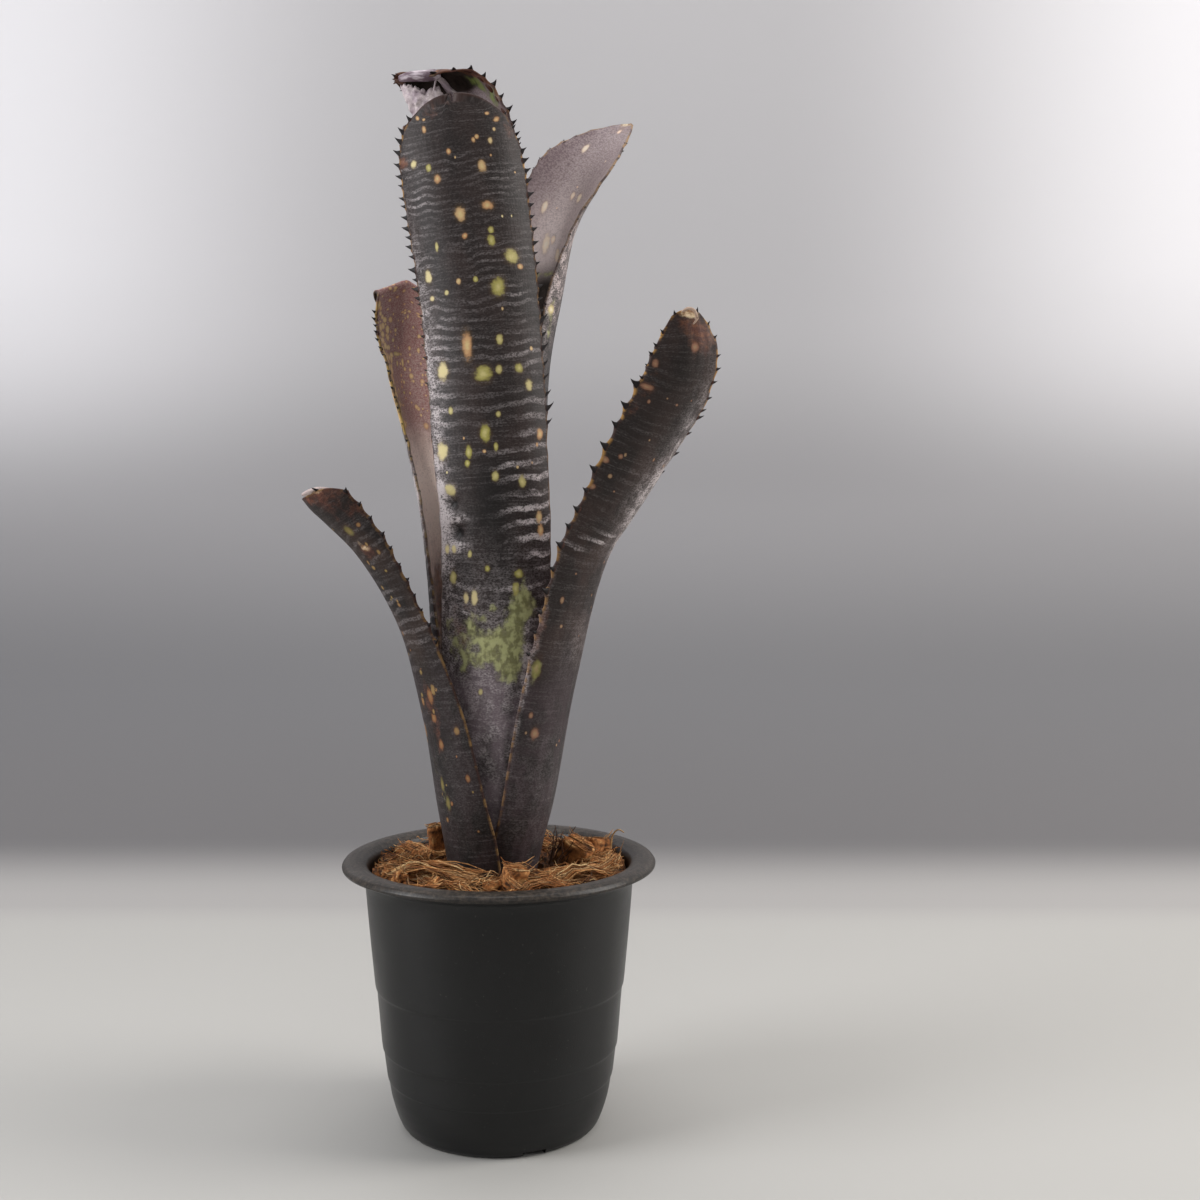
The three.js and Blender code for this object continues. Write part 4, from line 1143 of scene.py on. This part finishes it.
LEAF_LOOKS = {
    "leaf_low_right": {
        "dark": 0x241D1B, "dark_warm": 0x382A26, "low": 0x372C2F, "low_dark": 0x231D1D,
        "lines": 0.06, "dust": 0.06, "spots": (0xA6745C, 0xBC9C76, 0x8E8A48, 0xC8AC80, 0x4A3020),
        "spot": 0.6, "margin": 1.0,
    },
    "leaf_low_left": {
        "dark": 0x1E1918, "dark_warm": 0x332722, "low": 0x2A2121, "low_dark": 0x1B1715,
        "lines": 0.05, "dust": 0.05, "spots": (0x94603F, 0x9C8050, 0x76703C, 0xA88C58, 0x4A3020),
        "spot": 0.7, "shine": 0.16, "warm_tone": 0x824D38, "amber_tone": 0x9C7A4A,
    },
    "leaf_back": {
        "inner": 0x8A787B, "inner_streak": 0xA08E90, "inner_top": 0x7B696B,
        "inner_dark": 0x4A3B38, "inner_pale_and_sheen": 0xBBAAAC, "margin": 1.2,
        "greens": (0x4E5630, 0x83904C), "amber_tone": 0x8C6236,
    },
    "leaf_back_right": {
        "silver": 0xD2C2C0, "inner": 0xAA9694, "inner_streak": 0xC0ACAA, "inner_top": 0x6F595E,
        "inner_dark": 0x5F4A4C, "inner_pale_and_sheen": 0xDECCC8, "inner_rough": 0.4, "turn": (308, 346),
        "spots": PALE_SPOTS, "margin": 0.7, "amber_tone": 0xA88458, "veins": 0.3, "shine": 0.4,
    },
    "leaf_back_left": {
        "inner": 0xD0B2A8, "inner_streak": 0xE0C6BC, "inner_top": 0x8E5852,
        "inner_dark": 0x5C3430, "inner_pale_and_sheen": 0xFFE8DC, "greens": (0x6E5E38, 0x9C8648),
        "turn": (238, 256), "spots": (0xCC9460, 0xDDB873, 0xB8A04A, 0xEAD39C, 0x7A4A34),
        "margin": 1.0, "amber_tone": 0xA88A48, "shine": 0.35,
    },
}
LEAF_SLOTS = {
    "leaf_back": "leaf_mauve",
    "leaf_back_right": "leaf_mauve",
    "leaf_front": "leaf_dark",
    "leaf_back_left": "leaf_red",
    "leaf_low_right": "leaf_dark",
    "leaf_low_left": "leaf_dark",
}


def dress(thing, material, slot, *nodes):
    """Gives a new piece its material, hangs it under the root and hides the solids that it stands
    for
    """
    thing.data.materials.clear()
    thing.data.materials.append(material)
    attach(thing, "root")
    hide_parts(*nodes)


def make_leaves():
    for k, (name, leaf) in enumerate(LEAVES.items()):
        rib = midrib(leaf)
        spines = spine_places(leaf, FIRST_SEED + k)
        pile = Pile(*LEAF_VALUES)
        blade_into(pile, name, rib, spines)
        for spine in spines:
            spine_into(pile, rib, *spine)
        for scrap in SCRAPS.get(name, []):
            scrap_into(pile, **scrap)
        if name == "leaf_back":
            pouch_into(pile)
        thing = pile.piece("fine_" + name)
        mark_spots(thing, all_spots(name, rib))
        look = LeafLook(name, {**DARK_LEAF, **LEAF_LOOKS.get(name, {})})
        dress(thing, look.surface(), LEAF_SLOTS[name], name)


# Pot

# Its profile as radius and height, in four runs from the underside to the inside
POT_OUTSIDE = [
    [33.2, 0], [34.4, 0.4], [35.6, 1.7], [37.1, 5.2], [38.3, 9], [39.3, 12.8], [40.1, 18.2],
    [40.6, 18.9], [41.8, 29], [42.3, 29.7], [44.0, 51], [44.6, 51.8], [46.0, 67], [47.0, 79],
    [47.7, 88.5],
]
POT_LIP = [
    [48.4, 91.2], [50.2, 93], [52.6, 93.9], [54.9, 94], [55.8, 94.5], [55.9, 95.4], [55.0, 96.6],
    [53.2, 97.3], [51.0, 97.4], [49.0, 96.9], [47.3, 95.8], [46.4, 94],
]
POT_INSIDE = [
    [46.1, 88.5], [44.4, 67], [42.7, 51], [40.3, 29], [38.6, 18], [36.6, 9], [34.6, 5.6],
    [33.2, POT_FLOOR],
]
POT_UNDERSIDE = [
    [10, 0], [11, 3], [29.4, 3], [30.2, 0],
]
DRAIN_RADIUS = 4
DRAIN_CIRCLE = 21
DRAIN_COUNT = 6
DRAIN_MIDDLE = 4
NOTCH_WIDTH = 8.5
NOTCH_HEIGHT = 2.2
NOTCH_CIRCLE = 33
NOTCH_ANGLES = [-67.5, 22.5, 112.5, 202.5]
CUT_REACH = 12
POT_SHARP_ANGLE = 38
# Heights in metres between which the rim's top turns lighter: partly dust, partly painted sheen
RIM_DUST_AND_SHEEN = (0.0925, 0.097)


def rounded(profile, share=0.22, steps=3):
    """The profile with each inner corner replaced by a short curve"""
    points = [np.array(p, float) for p in profile]
    made = [points[0]]
    for before, corner, after in zip(points, points[1:], points[2:]):
        start = corner + (before - corner) * share
        end = corner + (after - corner) * share
        for k in range(steps + 1):
            t = k / steps
            made.append((1 - t) ** 2 * start + 2 * t * (1 - t) * corner + t**2 * end)
    made.append(points[-1])
    return made


def turned_mesh(name, profile, segments):
    """A closed turned mesh whose profile starts and ends on the axis"""
    turns = circle(segments)
    points = [[0, 0, profile[0][1]]]
    for r, z in profile[1:-1]:
        points.extend([r * math.cos(a), r * math.sin(a), z] for a in turns)
    points.append([0, 0, profile[-1][1]])
    rings = len(profile) - 2
    faces = []
    for j in range(segments):
        k = (j + 1) % segments
        faces.append((0, 1 + k, 1 + j))
        for i in range(rings - 1):
            a, b = 1 + i * segments, 1 + (i + 1) * segments
            faces.append((a + j, a + k, b + k, b + j))
        last = 1 + (rings - 1) * segments
        faces.append((last + j, last + k, len(points) - 1))
    pile = Pile()
    pile.add(points, faces)
    return pile.piece(name)


def cutter(make):
    """A scratch object made in bmesh, to be cut away"""
    shape = bmesh.new()
    make(shape)
    mesh = bpy.data.meshes.new("cutter")
    shape.to_mesh(mesh)
    shape.free()
    return linked("cutter", mesh)


def cut(thing, tools):
    """Cuts the tools' shapes out of a piece, and removes the tools"""
    for tool in tools:
        modifier = thing.modifiers.new("cut", "BOOLEAN")
        modifier.operation = "DIFFERENCE"
        modifier.solver = "EXACT"
        modifier.object = tool
    bpy.context.view_layer.update()
    graph = bpy.context.evaluated_depsgraph_get()
    mesh = bpy.data.meshes.new_from_object(thing.evaluated_get(graph))
    thing.modifiers.clear()
    thing.data = mesh
    for tool in tools:
        bpy.data.objects.remove(tool)


def drains(shape):
    """The round drain holes, as rods through the floor"""
    radius = DRAIN_RADIUS * MM
    size = {"radius1": radius, "radius2": radius, "depth": CUT_REACH * MM}
    for angle in circle(DRAIN_COUNT):
        x, y = DRAIN_CIRCLE * math.cos(angle), DRAIN_CIRCLE * math.sin(angle)
        matrix = Matrix.Translation((x * MM, y * MM, DRAIN_MIDDLE * MM))
        bmesh.ops.create_cone(shape, cap_ends=True, segments=32, matrix=matrix, **size)


def notches(shape):
    """The notches in the foot ring, as blocks across it"""
    size = Matrix.Diagonal((CUT_REACH * MM, NOTCH_WIDTH * MM, 2 * NOTCH_HEIGHT * MM, 1))
    for angle in NOTCH_ANGLES:
        turn = Matrix.Rotation(math.radians(angle), 4, "Z")
        place = turn @ Matrix.Translation((NOTCH_CIRCLE * MM, 0, 0)) @ size
        bmesh.ops.create_cube(shape, size=1, matrix=place)


def make_pot():
    wall = rounded(POT_UNDERSIDE + POT_OUTSIDE + POT_LIP + POT_INSIDE)
    pot = turned_mesh("fine_pot", [[0, 0]] + wall + [[0, POT_FLOOR]], POT_SEGMENTS)
    cut(pot, [cutter(drains), cutter(notches)])
    pot.data.shade_smooth()
    pot.data.set_sharp_from_angle(angle=math.radians(POT_SHARP_ANGLE))
    dress(pot, pot_look(), "pot_plastic", "pot")


def pot_look():
    """Black moulded plastic: a fine grain, faint flow marks, a little dust and a lighter lip top
    that is partly dust and partly painted sheen
    """
    look = Look("black_plastic")
    place = look.add("TexCoord").outputs["Object"]
    grain = look.noise(place, 2600.0, 2.0)
    cloud = look.noise(place, 34.0, 4.0)
    flow = look.stretched(place, (60, 60, 700), 3.0)
    colour = look.blend(cloud, 0.35, 0.7, 0x0C0C0C, 0x121212)
    dust = look.times(look.fade(look.noise(place, 900.0, 3.0), 0.66, 0.8), 0.25)
    colour = look.mix(dust, colour, 0x6B665F)
    height = look.add("SeparateXYZ", {0: place}).outputs["Z"]
    # Painted sheen with dust: the lip's top is lightened in smudges
    rim = look.fade(height, *RIM_DUST_AND_SHEEN)
    dust_and_sheen = look.fade(look.noise(place, 700.0, 4.0, 0.7), 0.35, 0.75, 0.05, 0.42)
    colour = look.mix(look.times(rim, dust_and_sheen), colour, 0x786A5E)
    rough = look.fade(cloud, 0.3, 0.7, 0.33, 0.42)
    normal = look.bump(grain, 0.2, 0.0002)
    normal = look.bump(flow, 0.06, 0.0004, normal)
    look.shader.inputs["Specular IOR Level"].default_value = 0.34
    return look.finish(Base_Color=colour, Roughness=rough, Normal=normal)


# Husk filling

SEEN_CHIPS = [
    {"at": (-24, 15, 97), "size": (6, 4.5, 16), "turn": 20, "tilt": (6, -8)},
    {"at": (-33, 19, 93.4), "size": (12, 8, 5), "turn": -25, "tilt": (10, 12)},
    {"at": (-19, -22, 94.6), "size": (30, 10, 3.2), "turn": -8, "tilt": (26, 7)},
    {"at": (6.6, -28, 95.6), "size": (9, 8, 8.5), "turn": 20, "tilt": (10, 10)},
    {"at": (26.6, 5, 95), "size": (12, 9, 14), "turn": -20, "tilt": (12, 24)},
    {"at": (35, 14, 96), "size": (9, 7, 8), "turn": 30, "tilt": (-14, 10)},
    {"at": (40, 1, 94.2), "size": (9, 6, 4), "turn": 70, "tilt": (10, -12)},
    {"at": (16, -30, 94), "size": (9, 8, 5), "turn": -15, "tilt": (14, -12)},
    {"at": (29, -20, 94.2), "size": (19, 9, 3.4), "turn": 22, "tilt": (18, -8)},
]
STRAW_CURL = [(39.4, 15, 93), (40, 15, 97), (40.6, 15, 101), (42.6, 15, 103.2), (44.8, 14, 102.4)]
SCATTER = 22
SCATTER_SEED = 71

# A chip's outline and the layers at its ends, as shares of its size
CHIP_OUTLINE = [(-0.5, -0.38), (-0.32, -0.5), (0.4, -0.46), (0.5, 0.1), (0.34, 0.5), (-0.42, 0.42)]
CHIP_ENDS = [(0.0, 0.5), (0.45, 0.5), (0.86, 0.5)]
CHIP_SHOULDER = 0.42
CHIP_RINGS = 7
CHIP_AROUND = 30
CHIP_SEED = 100

# The filling: its side as radius and height, and the well that the plant stands in
MOUND_SIDE = [
    (45.5, HUSK_LEVEL - 2), (44.6, 80), (42.1, 51), (39.7, 29), (38, 18), (36, 9), (32, 5.2),
]
MOUND_AROUND = 170
WELL_RADIUS = 17.9
WELL_FLOOR = 84

# Loose fibres: how many, the ring that they start in, how far out they may lie, and how
# near to the plant they may come
LITTER_COUNT = 650
LITTER_RING = (20.5, 43.5)
LITTER_EDGE = 44.6
LITTER_CLEARANCE = 19.5
LITTER_SEED = 17
ROOT_COUNT = 22
ROOT_SEED = 23

# Flat pieces of husk: start, heading, length, number of fibres, spread, rise
BUNDLES = [
    ((-36, -21, 2.2), -0.12, 34, 34, 9, 2.4),
    ((20, -24, 1.6), 0.32, 24, 30, 9, 1.0),
    ((-42, -8, 0.8), -0.5, 20, 18, 8, 0.0),
    ((-30, -33, 0.6), -0.35, 30, 16, 5, 0.0),
    ((6, -39, 0.4), 0.3, 28, 16, 5, 0.0),
]
BUNDLE_SEED = 5


def scattered_chips():
    """The same small chips as the solids have"""
    draw = seeded(SCATTER_SEED)
    chips = []
    for k in range(SCATTER):
        away = 24 + 15.5 * math.sqrt(next(draw))
        angle = 2 * math.pi * (k + 0.7 * next(draw)) / SCATTER
        height = HUSK_LEVEL + 0.6 + 1.2 * next(draw)
        size = (5 + 7 * next(draw), 3.5 + 3 * next(draw), 3 + 2.5 * next(draw))
        turn = 360 * next(draw)
        tilt = (50 * next(draw) - 25, 50 * next(draw) - 25)
        place = (away * math.cos(angle), away * math.sin(angle), height)
        chips.append({"at": place, "size": size, "turn": turn, "tilt": tilt})
    return chips


def unevenness(x, y):
    broad = np.sin(0.21 * x + 1.3) * np.cos(0.24 * y - 0.4)
    fine = np.sin(0.63 * x - 0.51 * y) * np.cos(0.47 * x + 0.71 * y + 2)
    return HUSK_ROUGHNESS * (broad + 0.7 * fine)


def chip_matrix(chip):
    """Turns a chip's own coordinates, in millimetres, to the frame"""
    turn = Matrix.Rotation(math.radians(chip["turn"]), 4, "Z")
    tilt_y = Matrix.Rotation(math.radians(chip["tilt"][1]), 4, "Y")
    tilt_x = Matrix.Rotation(math.radians(chip["tilt"][0]), 4, "X")
    return np.array(Matrix.Translation(chip["at"]) @ turn @ tilt_y @ tilt_x)


def placed(points, matrix):
    return points @ matrix[:3, :3].T + matrix[:3, 3]


def chip_block(size):
    """A chip's plain block: its outline in layers, from the bottom's middle to the top's"""
    a, b, c = size
    corners = np.array(CHIP_OUTLINE) * (a, b)
    closed = np.vstack([corners, corners[:1]])
    lengths = np.linalg.norm(np.diff(closed, axis=0), axis=1)
    lengths = np.concatenate([[0], np.cumsum(lengths)])
    at = np.linspace(0, lengths[-1], CHIP_AROUND, endpoint=False)
    outline = np.stack([np.interp(at, lengths, closed[:, k]) for k in (0, 1)], axis=1)
    layers = [(share, -level) for share, level in CHIP_ENDS]
    for k in range(CHIP_RINGS + 1):
        layers.append((1, -CHIP_SHOULDER + 2 * CHIP_SHOULDER * k / CHIP_RINGS))
    layers += CHIP_ENDS[::-1]
    block = []
    for share, level in layers:
        block.append(np.column_stack([outline * share, np.full(CHIP_AROUND, level * c)]))
    return np.array(block)


def chip_into(pile, chip, seed):
    """A broken block of husk: ragged faces with a grain along its length, and loose fibres"""
    points = chip_block(chip["size"])
    x, y, z = points[..., 0], points[..., 1], points[..., 2]
    grain = ripple(y / 1.6 + x / 30, z / 1.6, seed)
    lump = ripple(x / 5, y / 4 + z / 5, seed + 1)
    push = 1 + (0.05 * grain + 0.05 * lump) * np.clip(8 / max(chip["size"][:2]), 0.4, 1)
    points[..., 0] *= push
    points[..., 1] *= push
    points[..., 2] += 0.25 * ripple(y / 1.3 + x / 40, x / 9, seed + 2) * np.sign(z + 1e-6)
    torn = ripple((x + z) / 1.4, (y - z) / 1.4, seed + 3, 9)
    points = points * (1 + np.clip(0.07 * torn, -0.1, 0.14)[..., None])
    faces = loop_faces(len(points), CHIP_AROUND)
    matrix = chip_matrix(chip)
    # The tone follows the same ripples that push the faces in and out: partly the husk's grain,
    # partly painted shade that darkens the hollows
    tone = np.clip(0.5 + 0.4 * grain + 0.2 * lump + 0.15 * torn, 0, 1)
    kind = 0.32 + 0.3 * ((seed * 0.37) % 1)
    pile.add(placed(points.reshape(-1, 3), matrix), faces, tone=tone, kind=kind)
    chip_fibres(pile, chip, matrix, seed)


def fibre_into(pile, draw, path, widths, profile, tones):
    """A fibre along a path, with its width, tone and kind drawn at random"""
    points, faces = tube(path, draw.uniform(*widths) * np.array(profile))
    pile.add(points, faces, tone=draw.uniform(*tones), kind=draw.random())


def chip_fibres(pile, chip, matrix, seed):
    """Fibres along a chip's length, a few of them lifting off its ends"""
    a, b, c = chip["size"]
    draw = random.Random(seed)
    t = np.linspace(0, 1, 6)
    for k in range(int(16 + 1.4 * a + 1.8 * b)):
        lane = draw.uniform(-0.5, 0.5)
        face = draw.choice((-1, 1, 1))
        start = draw.uniform(-0.6, 0.1)
        x = (start + draw.uniform(0.45, 0.8) * t) * a
        y = (lane * 0.86 + 0.05 * np.sin(3 * t + k)) * b
        over = np.clip(np.abs(x) / a - 0.42, 0, 1)
        z = face * (0.5 * c + 0.15 + draw.uniform(-0.2, 0.35) + draw.uniform(0, 14) * over)
        path = placed(np.column_stack([x, y, z]), matrix)
        fibre_into(pile, draw, path, (0.07, 0.2), [0.5, 1, 1, 1, 0.8, 0.3], (0.3, 1))


def level_ring(radius, height, turns):
    """A level ring of points round the pot's axis"""
    x, y = radius * np.cos(turns), radius * np.sin(turns)
    return np.column_stack([x, y, np.full(len(turns), float(height))])


def mound_into(pile):
    """The filling: its uneven top, a plain side down to the pot's floor, and the well"""
    turns = circle(MOUND_AROUND)
    points = []
    tones = []
    for r in np.linspace(16, 45.2, 40):
        x, y = r * np.cos(turns), r * np.sin(turns)
        rough = 0.45 * ripple(x / 5, y / 5, 3) + 0.3 * ripple(x / 1.9, y / 1.9, 4, 9)
        z = HUSK_LEVEL + unevenness(x, y) + rough * np.clip((45.4 - r) / 3, 0, 1)
        points.append(np.column_stack([x, y, z]))
        tones.append(np.clip(0.2 + 0.25 * ripple(x / 1.5, y / 1.5, 6, 9), 0, 1))
    for r, z in MOUND_SIDE:
        points.append(level_ring(r, z, turns))
        tones.append(np.full(MOUND_AROUND, 0.4))
    faces = loop_faces(len(points), MOUND_AROUND)
    pile.add(np.array(points), faces, tone=np.array(tones), kind=0.5)
    well = level_ring(WELL_RADIUS, WELL_FLOOR, turns) + [ROSETTE_X, 0, 0]
    wall = np.concatenate([points[0], well, [[ROSETTE_X, 0, WELL_FLOOR]]])
    faces = loop_faces(2, MOUND_AROUND) + fan(MOUND_AROUND, 2 * MOUND_AROUND, MOUND_AROUND)
    pile.add(wall, faces, tone=0.3, kind=0.5)
    bottom = np.concatenate([points[-1], [[0, 0, MOUND_SIDE[-1][1]]]])
    pile.add(bottom, fan(MOUND_AROUND, MOUND_AROUND), tone=0.3, kind=0.5)


def strand(start, heading, length, arch, bend, lift=0.0):
    """A loose fibre's path from its start, curving over the surface"""
    t = np.linspace(0, 1, 8)
    angle = heading + bend * (t - 0.5)
    step = length / (len(t) - 1)
    x = start[0] + np.concatenate([[0], np.cumsum(np.cos(angle[1:]) * step)])
    y = start[1] + np.concatenate([[0], np.cumsum(np.sin(angle[1:]) * step)])
    reach = np.hypot(x, y)
    shrink = np.where(reach > LITTER_EDGE, LITTER_EDGE / np.maximum(reach, 1), 1)
    x, y = x * shrink, y * shrink
    rise = start[2] + arch * np.sin(math.pi * t) + lift * t**2
    return np.column_stack([x, y, HUSK_LEVEL + unevenness(x, y) + rise])


def litter_into(pile):
    """Loose fibres all over the top of the filling"""
    draw = random.Random(LITTER_SEED)
    inner, outer = LITTER_RING
    for k in range(LITTER_COUNT):
        away = math.sqrt(draw.uniform(inner**2, outer**2))
        angle = draw.uniform(0, 2 * math.pi)
        start = (away * math.cos(angle), away * math.sin(angle), draw.uniform(0.1, 2.4))
        heading = draw.gauss(0.15, 0.9) + (math.pi if k % 2 else 0)
        lift = max(0.0, draw.gauss(-1, 2.2))
        shape = (draw.uniform(4, 18), draw.uniform(0, 1.8), draw.gauss(0, 0.9))
        path = strand(start, heading, *shape, lift)
        if np.hypot(path[:, 0] - ROSETTE_X, path[:, 1]).min() < LITTER_CLEARANCE:
            continue
        profile = [0.3, 0.9, 1, 1, 1, 0.9, 0.6, 0.2]
        fibre_into(pile, draw, path, (0.07, 0.22), profile, (0.1, 1))


def bundle_into(pile, seed, start, heading, length, count, spread, rise):
    """A flat piece of husk as a sheaf of nearly parallel fibres"""
    draw = random.Random(seed)
    for k in range(count):
        lane = (k / (count - 1) - 0.5) * spread
        x = start[0] - lane * math.sin(heading) + draw.uniform(-1, 1)
        y = start[1] + lane * math.cos(heading)
        arch = 1.6 + rise * (0.5 + lane / spread) + draw.uniform(-0.5, 0.7)
        turn = heading + draw.gauss(0, 0.05)
        place = (x, y, start[2] + draw.uniform(0, 0.8))
        path = strand(place, turn, length * draw.uniform(0.7, 1.05), arch, draw.gauss(-0.15, 0.12))
        profile = [0.4, 0.9, 1, 1, 1, 0.9, 0.7, 0.25]
        fibre_into(pile, draw, path, (0.1, 0.34), profile, (0.35, 1))


def tangle_into(pile):
    """Dark old roots that stand up beside the plant, and one loose curl of straw"""
    draw = random.Random(ROOT_SEED)
    for k in range(ROOT_COUNT):
        start = np.array([draw.uniform(17, 23), draw.uniform(-4, 9), HUSK_LEVEL])
        reach = np.array([draw.uniform(0, 9), draw.uniform(-4, 4), draw.uniform(5, 14)])
        t = np.linspace(0, 1, 9)[:, None]
        sway = np.column_stack([np.sin(4 * t + k), np.cos(5 * t + k), 0.4 * np.sin(7 * t)])
        path = start + reach * t + sway * t * draw.uniform(0.8, 2)
        radius = draw.uniform(0.16, 0.5) * np.linspace(1, 0.25, 9)
        points, faces = tube(path, radius, 5)
        pile.add(points, faces, tone=draw.uniform(0, 0.3), kind=0.02)
    curl = between(np.array(STRAW_CURL, float), np.linspace(0, len(STRAW_CURL) - 1, 20))
    points, faces = tube(curl, np.linspace(0.5, 0.2, 20), 6)
    pile.add(points, faces, tone=0.9, kind=0.9)


def make_husk():
    pile = Pile("tone", "kind")
    mound_into(pile)
    for seed, chip in enumerate(SEEN_CHIPS + scattered_chips(), CHIP_SEED):
        chip_into(pile, chip, seed)
    for seed, bundle in enumerate(BUNDLES, BUNDLE_SEED):
        bundle_into(pile, seed, *bundle)
    litter_into(pile)
    tangle_into(pile)
    dress(pile.piece("fine_husk"), husk_look(), "husk", "husk_substrate")


def husk_look():
    """Coconut husk: dark to straw-coloured by each bit's tone and kind, with fine specks"""
    look = Look("coconut_husk")
    place = look.add("TexCoord").outputs["Object"]
    tone = look.value("tone")
    kind = look.value("kind")
    speck = look.noise(place, 900.0, 4.0, 0.7)
    patch = look.noise(place, 90.0, 3.0)
    colour = look.blend(tone, 0.05, 0.6, 0x2A180E, 0xA66939)
    coats = [
        (look.fade(tone, 0.5, 0.9), 0xD49F66),
        (look.fade(tone, 0.85, 1.0), 0xDDBB88),
        (look.times(look.fade(kind, 0.55, 1.0), 0.5), 0xA98F6B),
        (look.times(look.fade(kind, 0.0, 0.3, 1.0, 0.0), 0.6), 0x4A2F20),
        (look.times(look.fade(speck, 0.42, 0.66), 0.6), 0x2F1B10),
        (look.times(look.fade(patch, 0.5, 0.75), 0.3), 0xB98048),
    ]
    for share, code in coats:
        colour = look.mix(share, colour, code)
    look.shader.inputs["Specular IOR Level"].default_value = 0.25
    return look.finish(Base_Color=colour, Roughness=0.82, Normal=look.bump(speck, 0.6, 0.0006))


def stem_look():
    """The hidden stem: dull, fibrous tissue"""
    look = Look("stem_tissue")
    place = look.add("TexCoord").outputs["Object"]
    fibres = look.stretched(place, (1400, 1400, 60), 4.0)
    colour = look.blend(fibres, 0.3, 0.7, 0x5E5638, 0x9A8F62)
    return look.finish(Base_Color=colour, Roughness=0.8, Normal=look.bump(fibres, 0.5, 0.0005))


# Stage, light and camera, in metres

FLOOR_BACK = 0.24
SWEEP_RADIUS = 0.36
SWEEP_TOP = 1.6
SWEEP_STEPS = 32
SWEEP_SIDE = 2.2
# Painted light on the sweep, by height: the pale floor, a darker band low on the backdrop and
# lighter grey above it
PAINTED_LIGHT_HEIGHT = 0.6
BACKDROP_PAINTED_LIGHT = [
    (0.0, 0xB6B4B0),
    (0.004, 0xA8A5A3),
    (0.035, 0x6B696A),
    (0.163, 0x6C6B6D),
    (0.367, 0x878587),
    (0.6, 0xA7A5A7),
    (1.0, 0xAAA8AA),
]

# Area lights that look at one point: place, size, power and colour
LIT_POINT = (0, 0, 0.2)
LIGHTS = {
    "window_right": ((0.95, -0.05, 0.62), (0.5, 0.9), 10, (1.0, 0.98, 0.95)),
    "window_left": ((-0.9, -0.36, 0.52), (0.5, 0.9), 10, (0.97, 0.98, 1.0)),
    "ceiling": ((0.0, 0.05, 1.2), (0.9, 0.7), 6, (1.0, 1.0, 1.0)),
    "front_fill": ((0.2, -1.5, 1.0), (1.0, 0.8), 3, (1.0, 1.0, 1.0)),
}
SKY_COLOUR = (0.8, 0.83, 0.88, 1)
SKY_STRENGTH = 0.14


def make_stage():
    """A pale floor that sweeps up into a grey backdrop, coloured with painted light: darker low on
    the backdrop, lighter higher up and lighter still towards its sides
    """
    path = [(-1.4, 0.0), (-0.6, 0.0)]
    for k in range(SWEEP_STEPS + 1):
        angle = math.pi / 2 * k / SWEEP_STEPS
        y = FLOOR_BACK + SWEEP_RADIUS * math.sin(angle)
        path.append((y, SWEEP_RADIUS * (1 - math.cos(angle))))
    path.append((FLOOR_BACK + SWEEP_RADIUS, SWEEP_TOP))
    points = []
    for y, z in path:
        points.extend(([-SWEEP_SIDE, y, z], [SWEEP_SIDE, y, z]))
    faces = [(2 * k, 2 * k + 1, 2 * k + 3, 2 * k + 2) for k in range(len(path) - 1)]
    mesh = bpy.data.meshes.new("sweep")
    mesh.from_pydata(points, [], faces)
    mesh.shade_smooth()
    sweep = linked("sweep", mesh)
    look = Look("sweep_paper")
    place = look.add("SeparateXYZ", {0: look.add("TexCoord").outputs["Object"]}).outputs
    colour = look.ramp(look.math("DIVIDE", place["Z"], PAINTED_LIGHT_HEIGHT), BACKDROP_PAINTED_LIGHT)
    # Painted light: the backdrop turns lighter towards its sides, high up
    from_middle = look.math("ABSOLUTE", look.math("SUBTRACT", place["X"], CAMERA_PLACE[0] * MM))
    side = look.times(look.fade(from_middle, 0.12, 0.46), look.fade(place["Z"], 0.18, 0.4))
    colour = look.mix(side, colour, 0xDAD8DB)
    sweep.data.materials.append(look.finish(Base_Color=colour, Roughness=0.6))


def area_light(name, place, size, power, colour):
    light = bpy.data.lights.new(name, "AREA")
    light.shape = "RECTANGLE"
    light.size, light.size_y = size
    light.energy = power
    light.color = colour
    thing = linked(name, light)
    thing.location = place
    direction = Vector(LIT_POINT) - Vector(place)
    thing.rotation_euler = direction.to_track_quat("-Z", "Y").to_euler()


def make_lights():
    for name, light in LIGHTS.items():
        area_light(name, *light)
    world = bpy.data.worlds.new("studio")
    world.use_nodes = True
    background = world.node_tree.nodes["Background"].inputs
    background["Color"].default_value = SKY_COLOUR
    background["Strength"].default_value = SKY_STRENGTH
    bpy.context.scene.world = world


def make_camera():
    camera = bpy.data.cameras.new("photo_camera")
    camera.lens = CAMERA_LENS
    camera.sensor_width = CAMERA_SENSOR
    camera.clip_start, camera.clip_end = 0.01, 20
    thing = linked("photo_camera", camera)
    thing.location = [value * MM for value in CAMERA_PLACE]
    thing.rotation_euler = (math.radians(90 - CAMERA_PITCH), 0, 0)
    bpy.context.scene.camera = thing


make_camera()
make_pot()
make_husk()
make_leaves()
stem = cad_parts["stem"]
stem.data.materials.clear()
stem.data.materials.append(stem_look())
make_stage()
make_lights()
bpy.context.scene.view_settings.view_transform = "Standard"
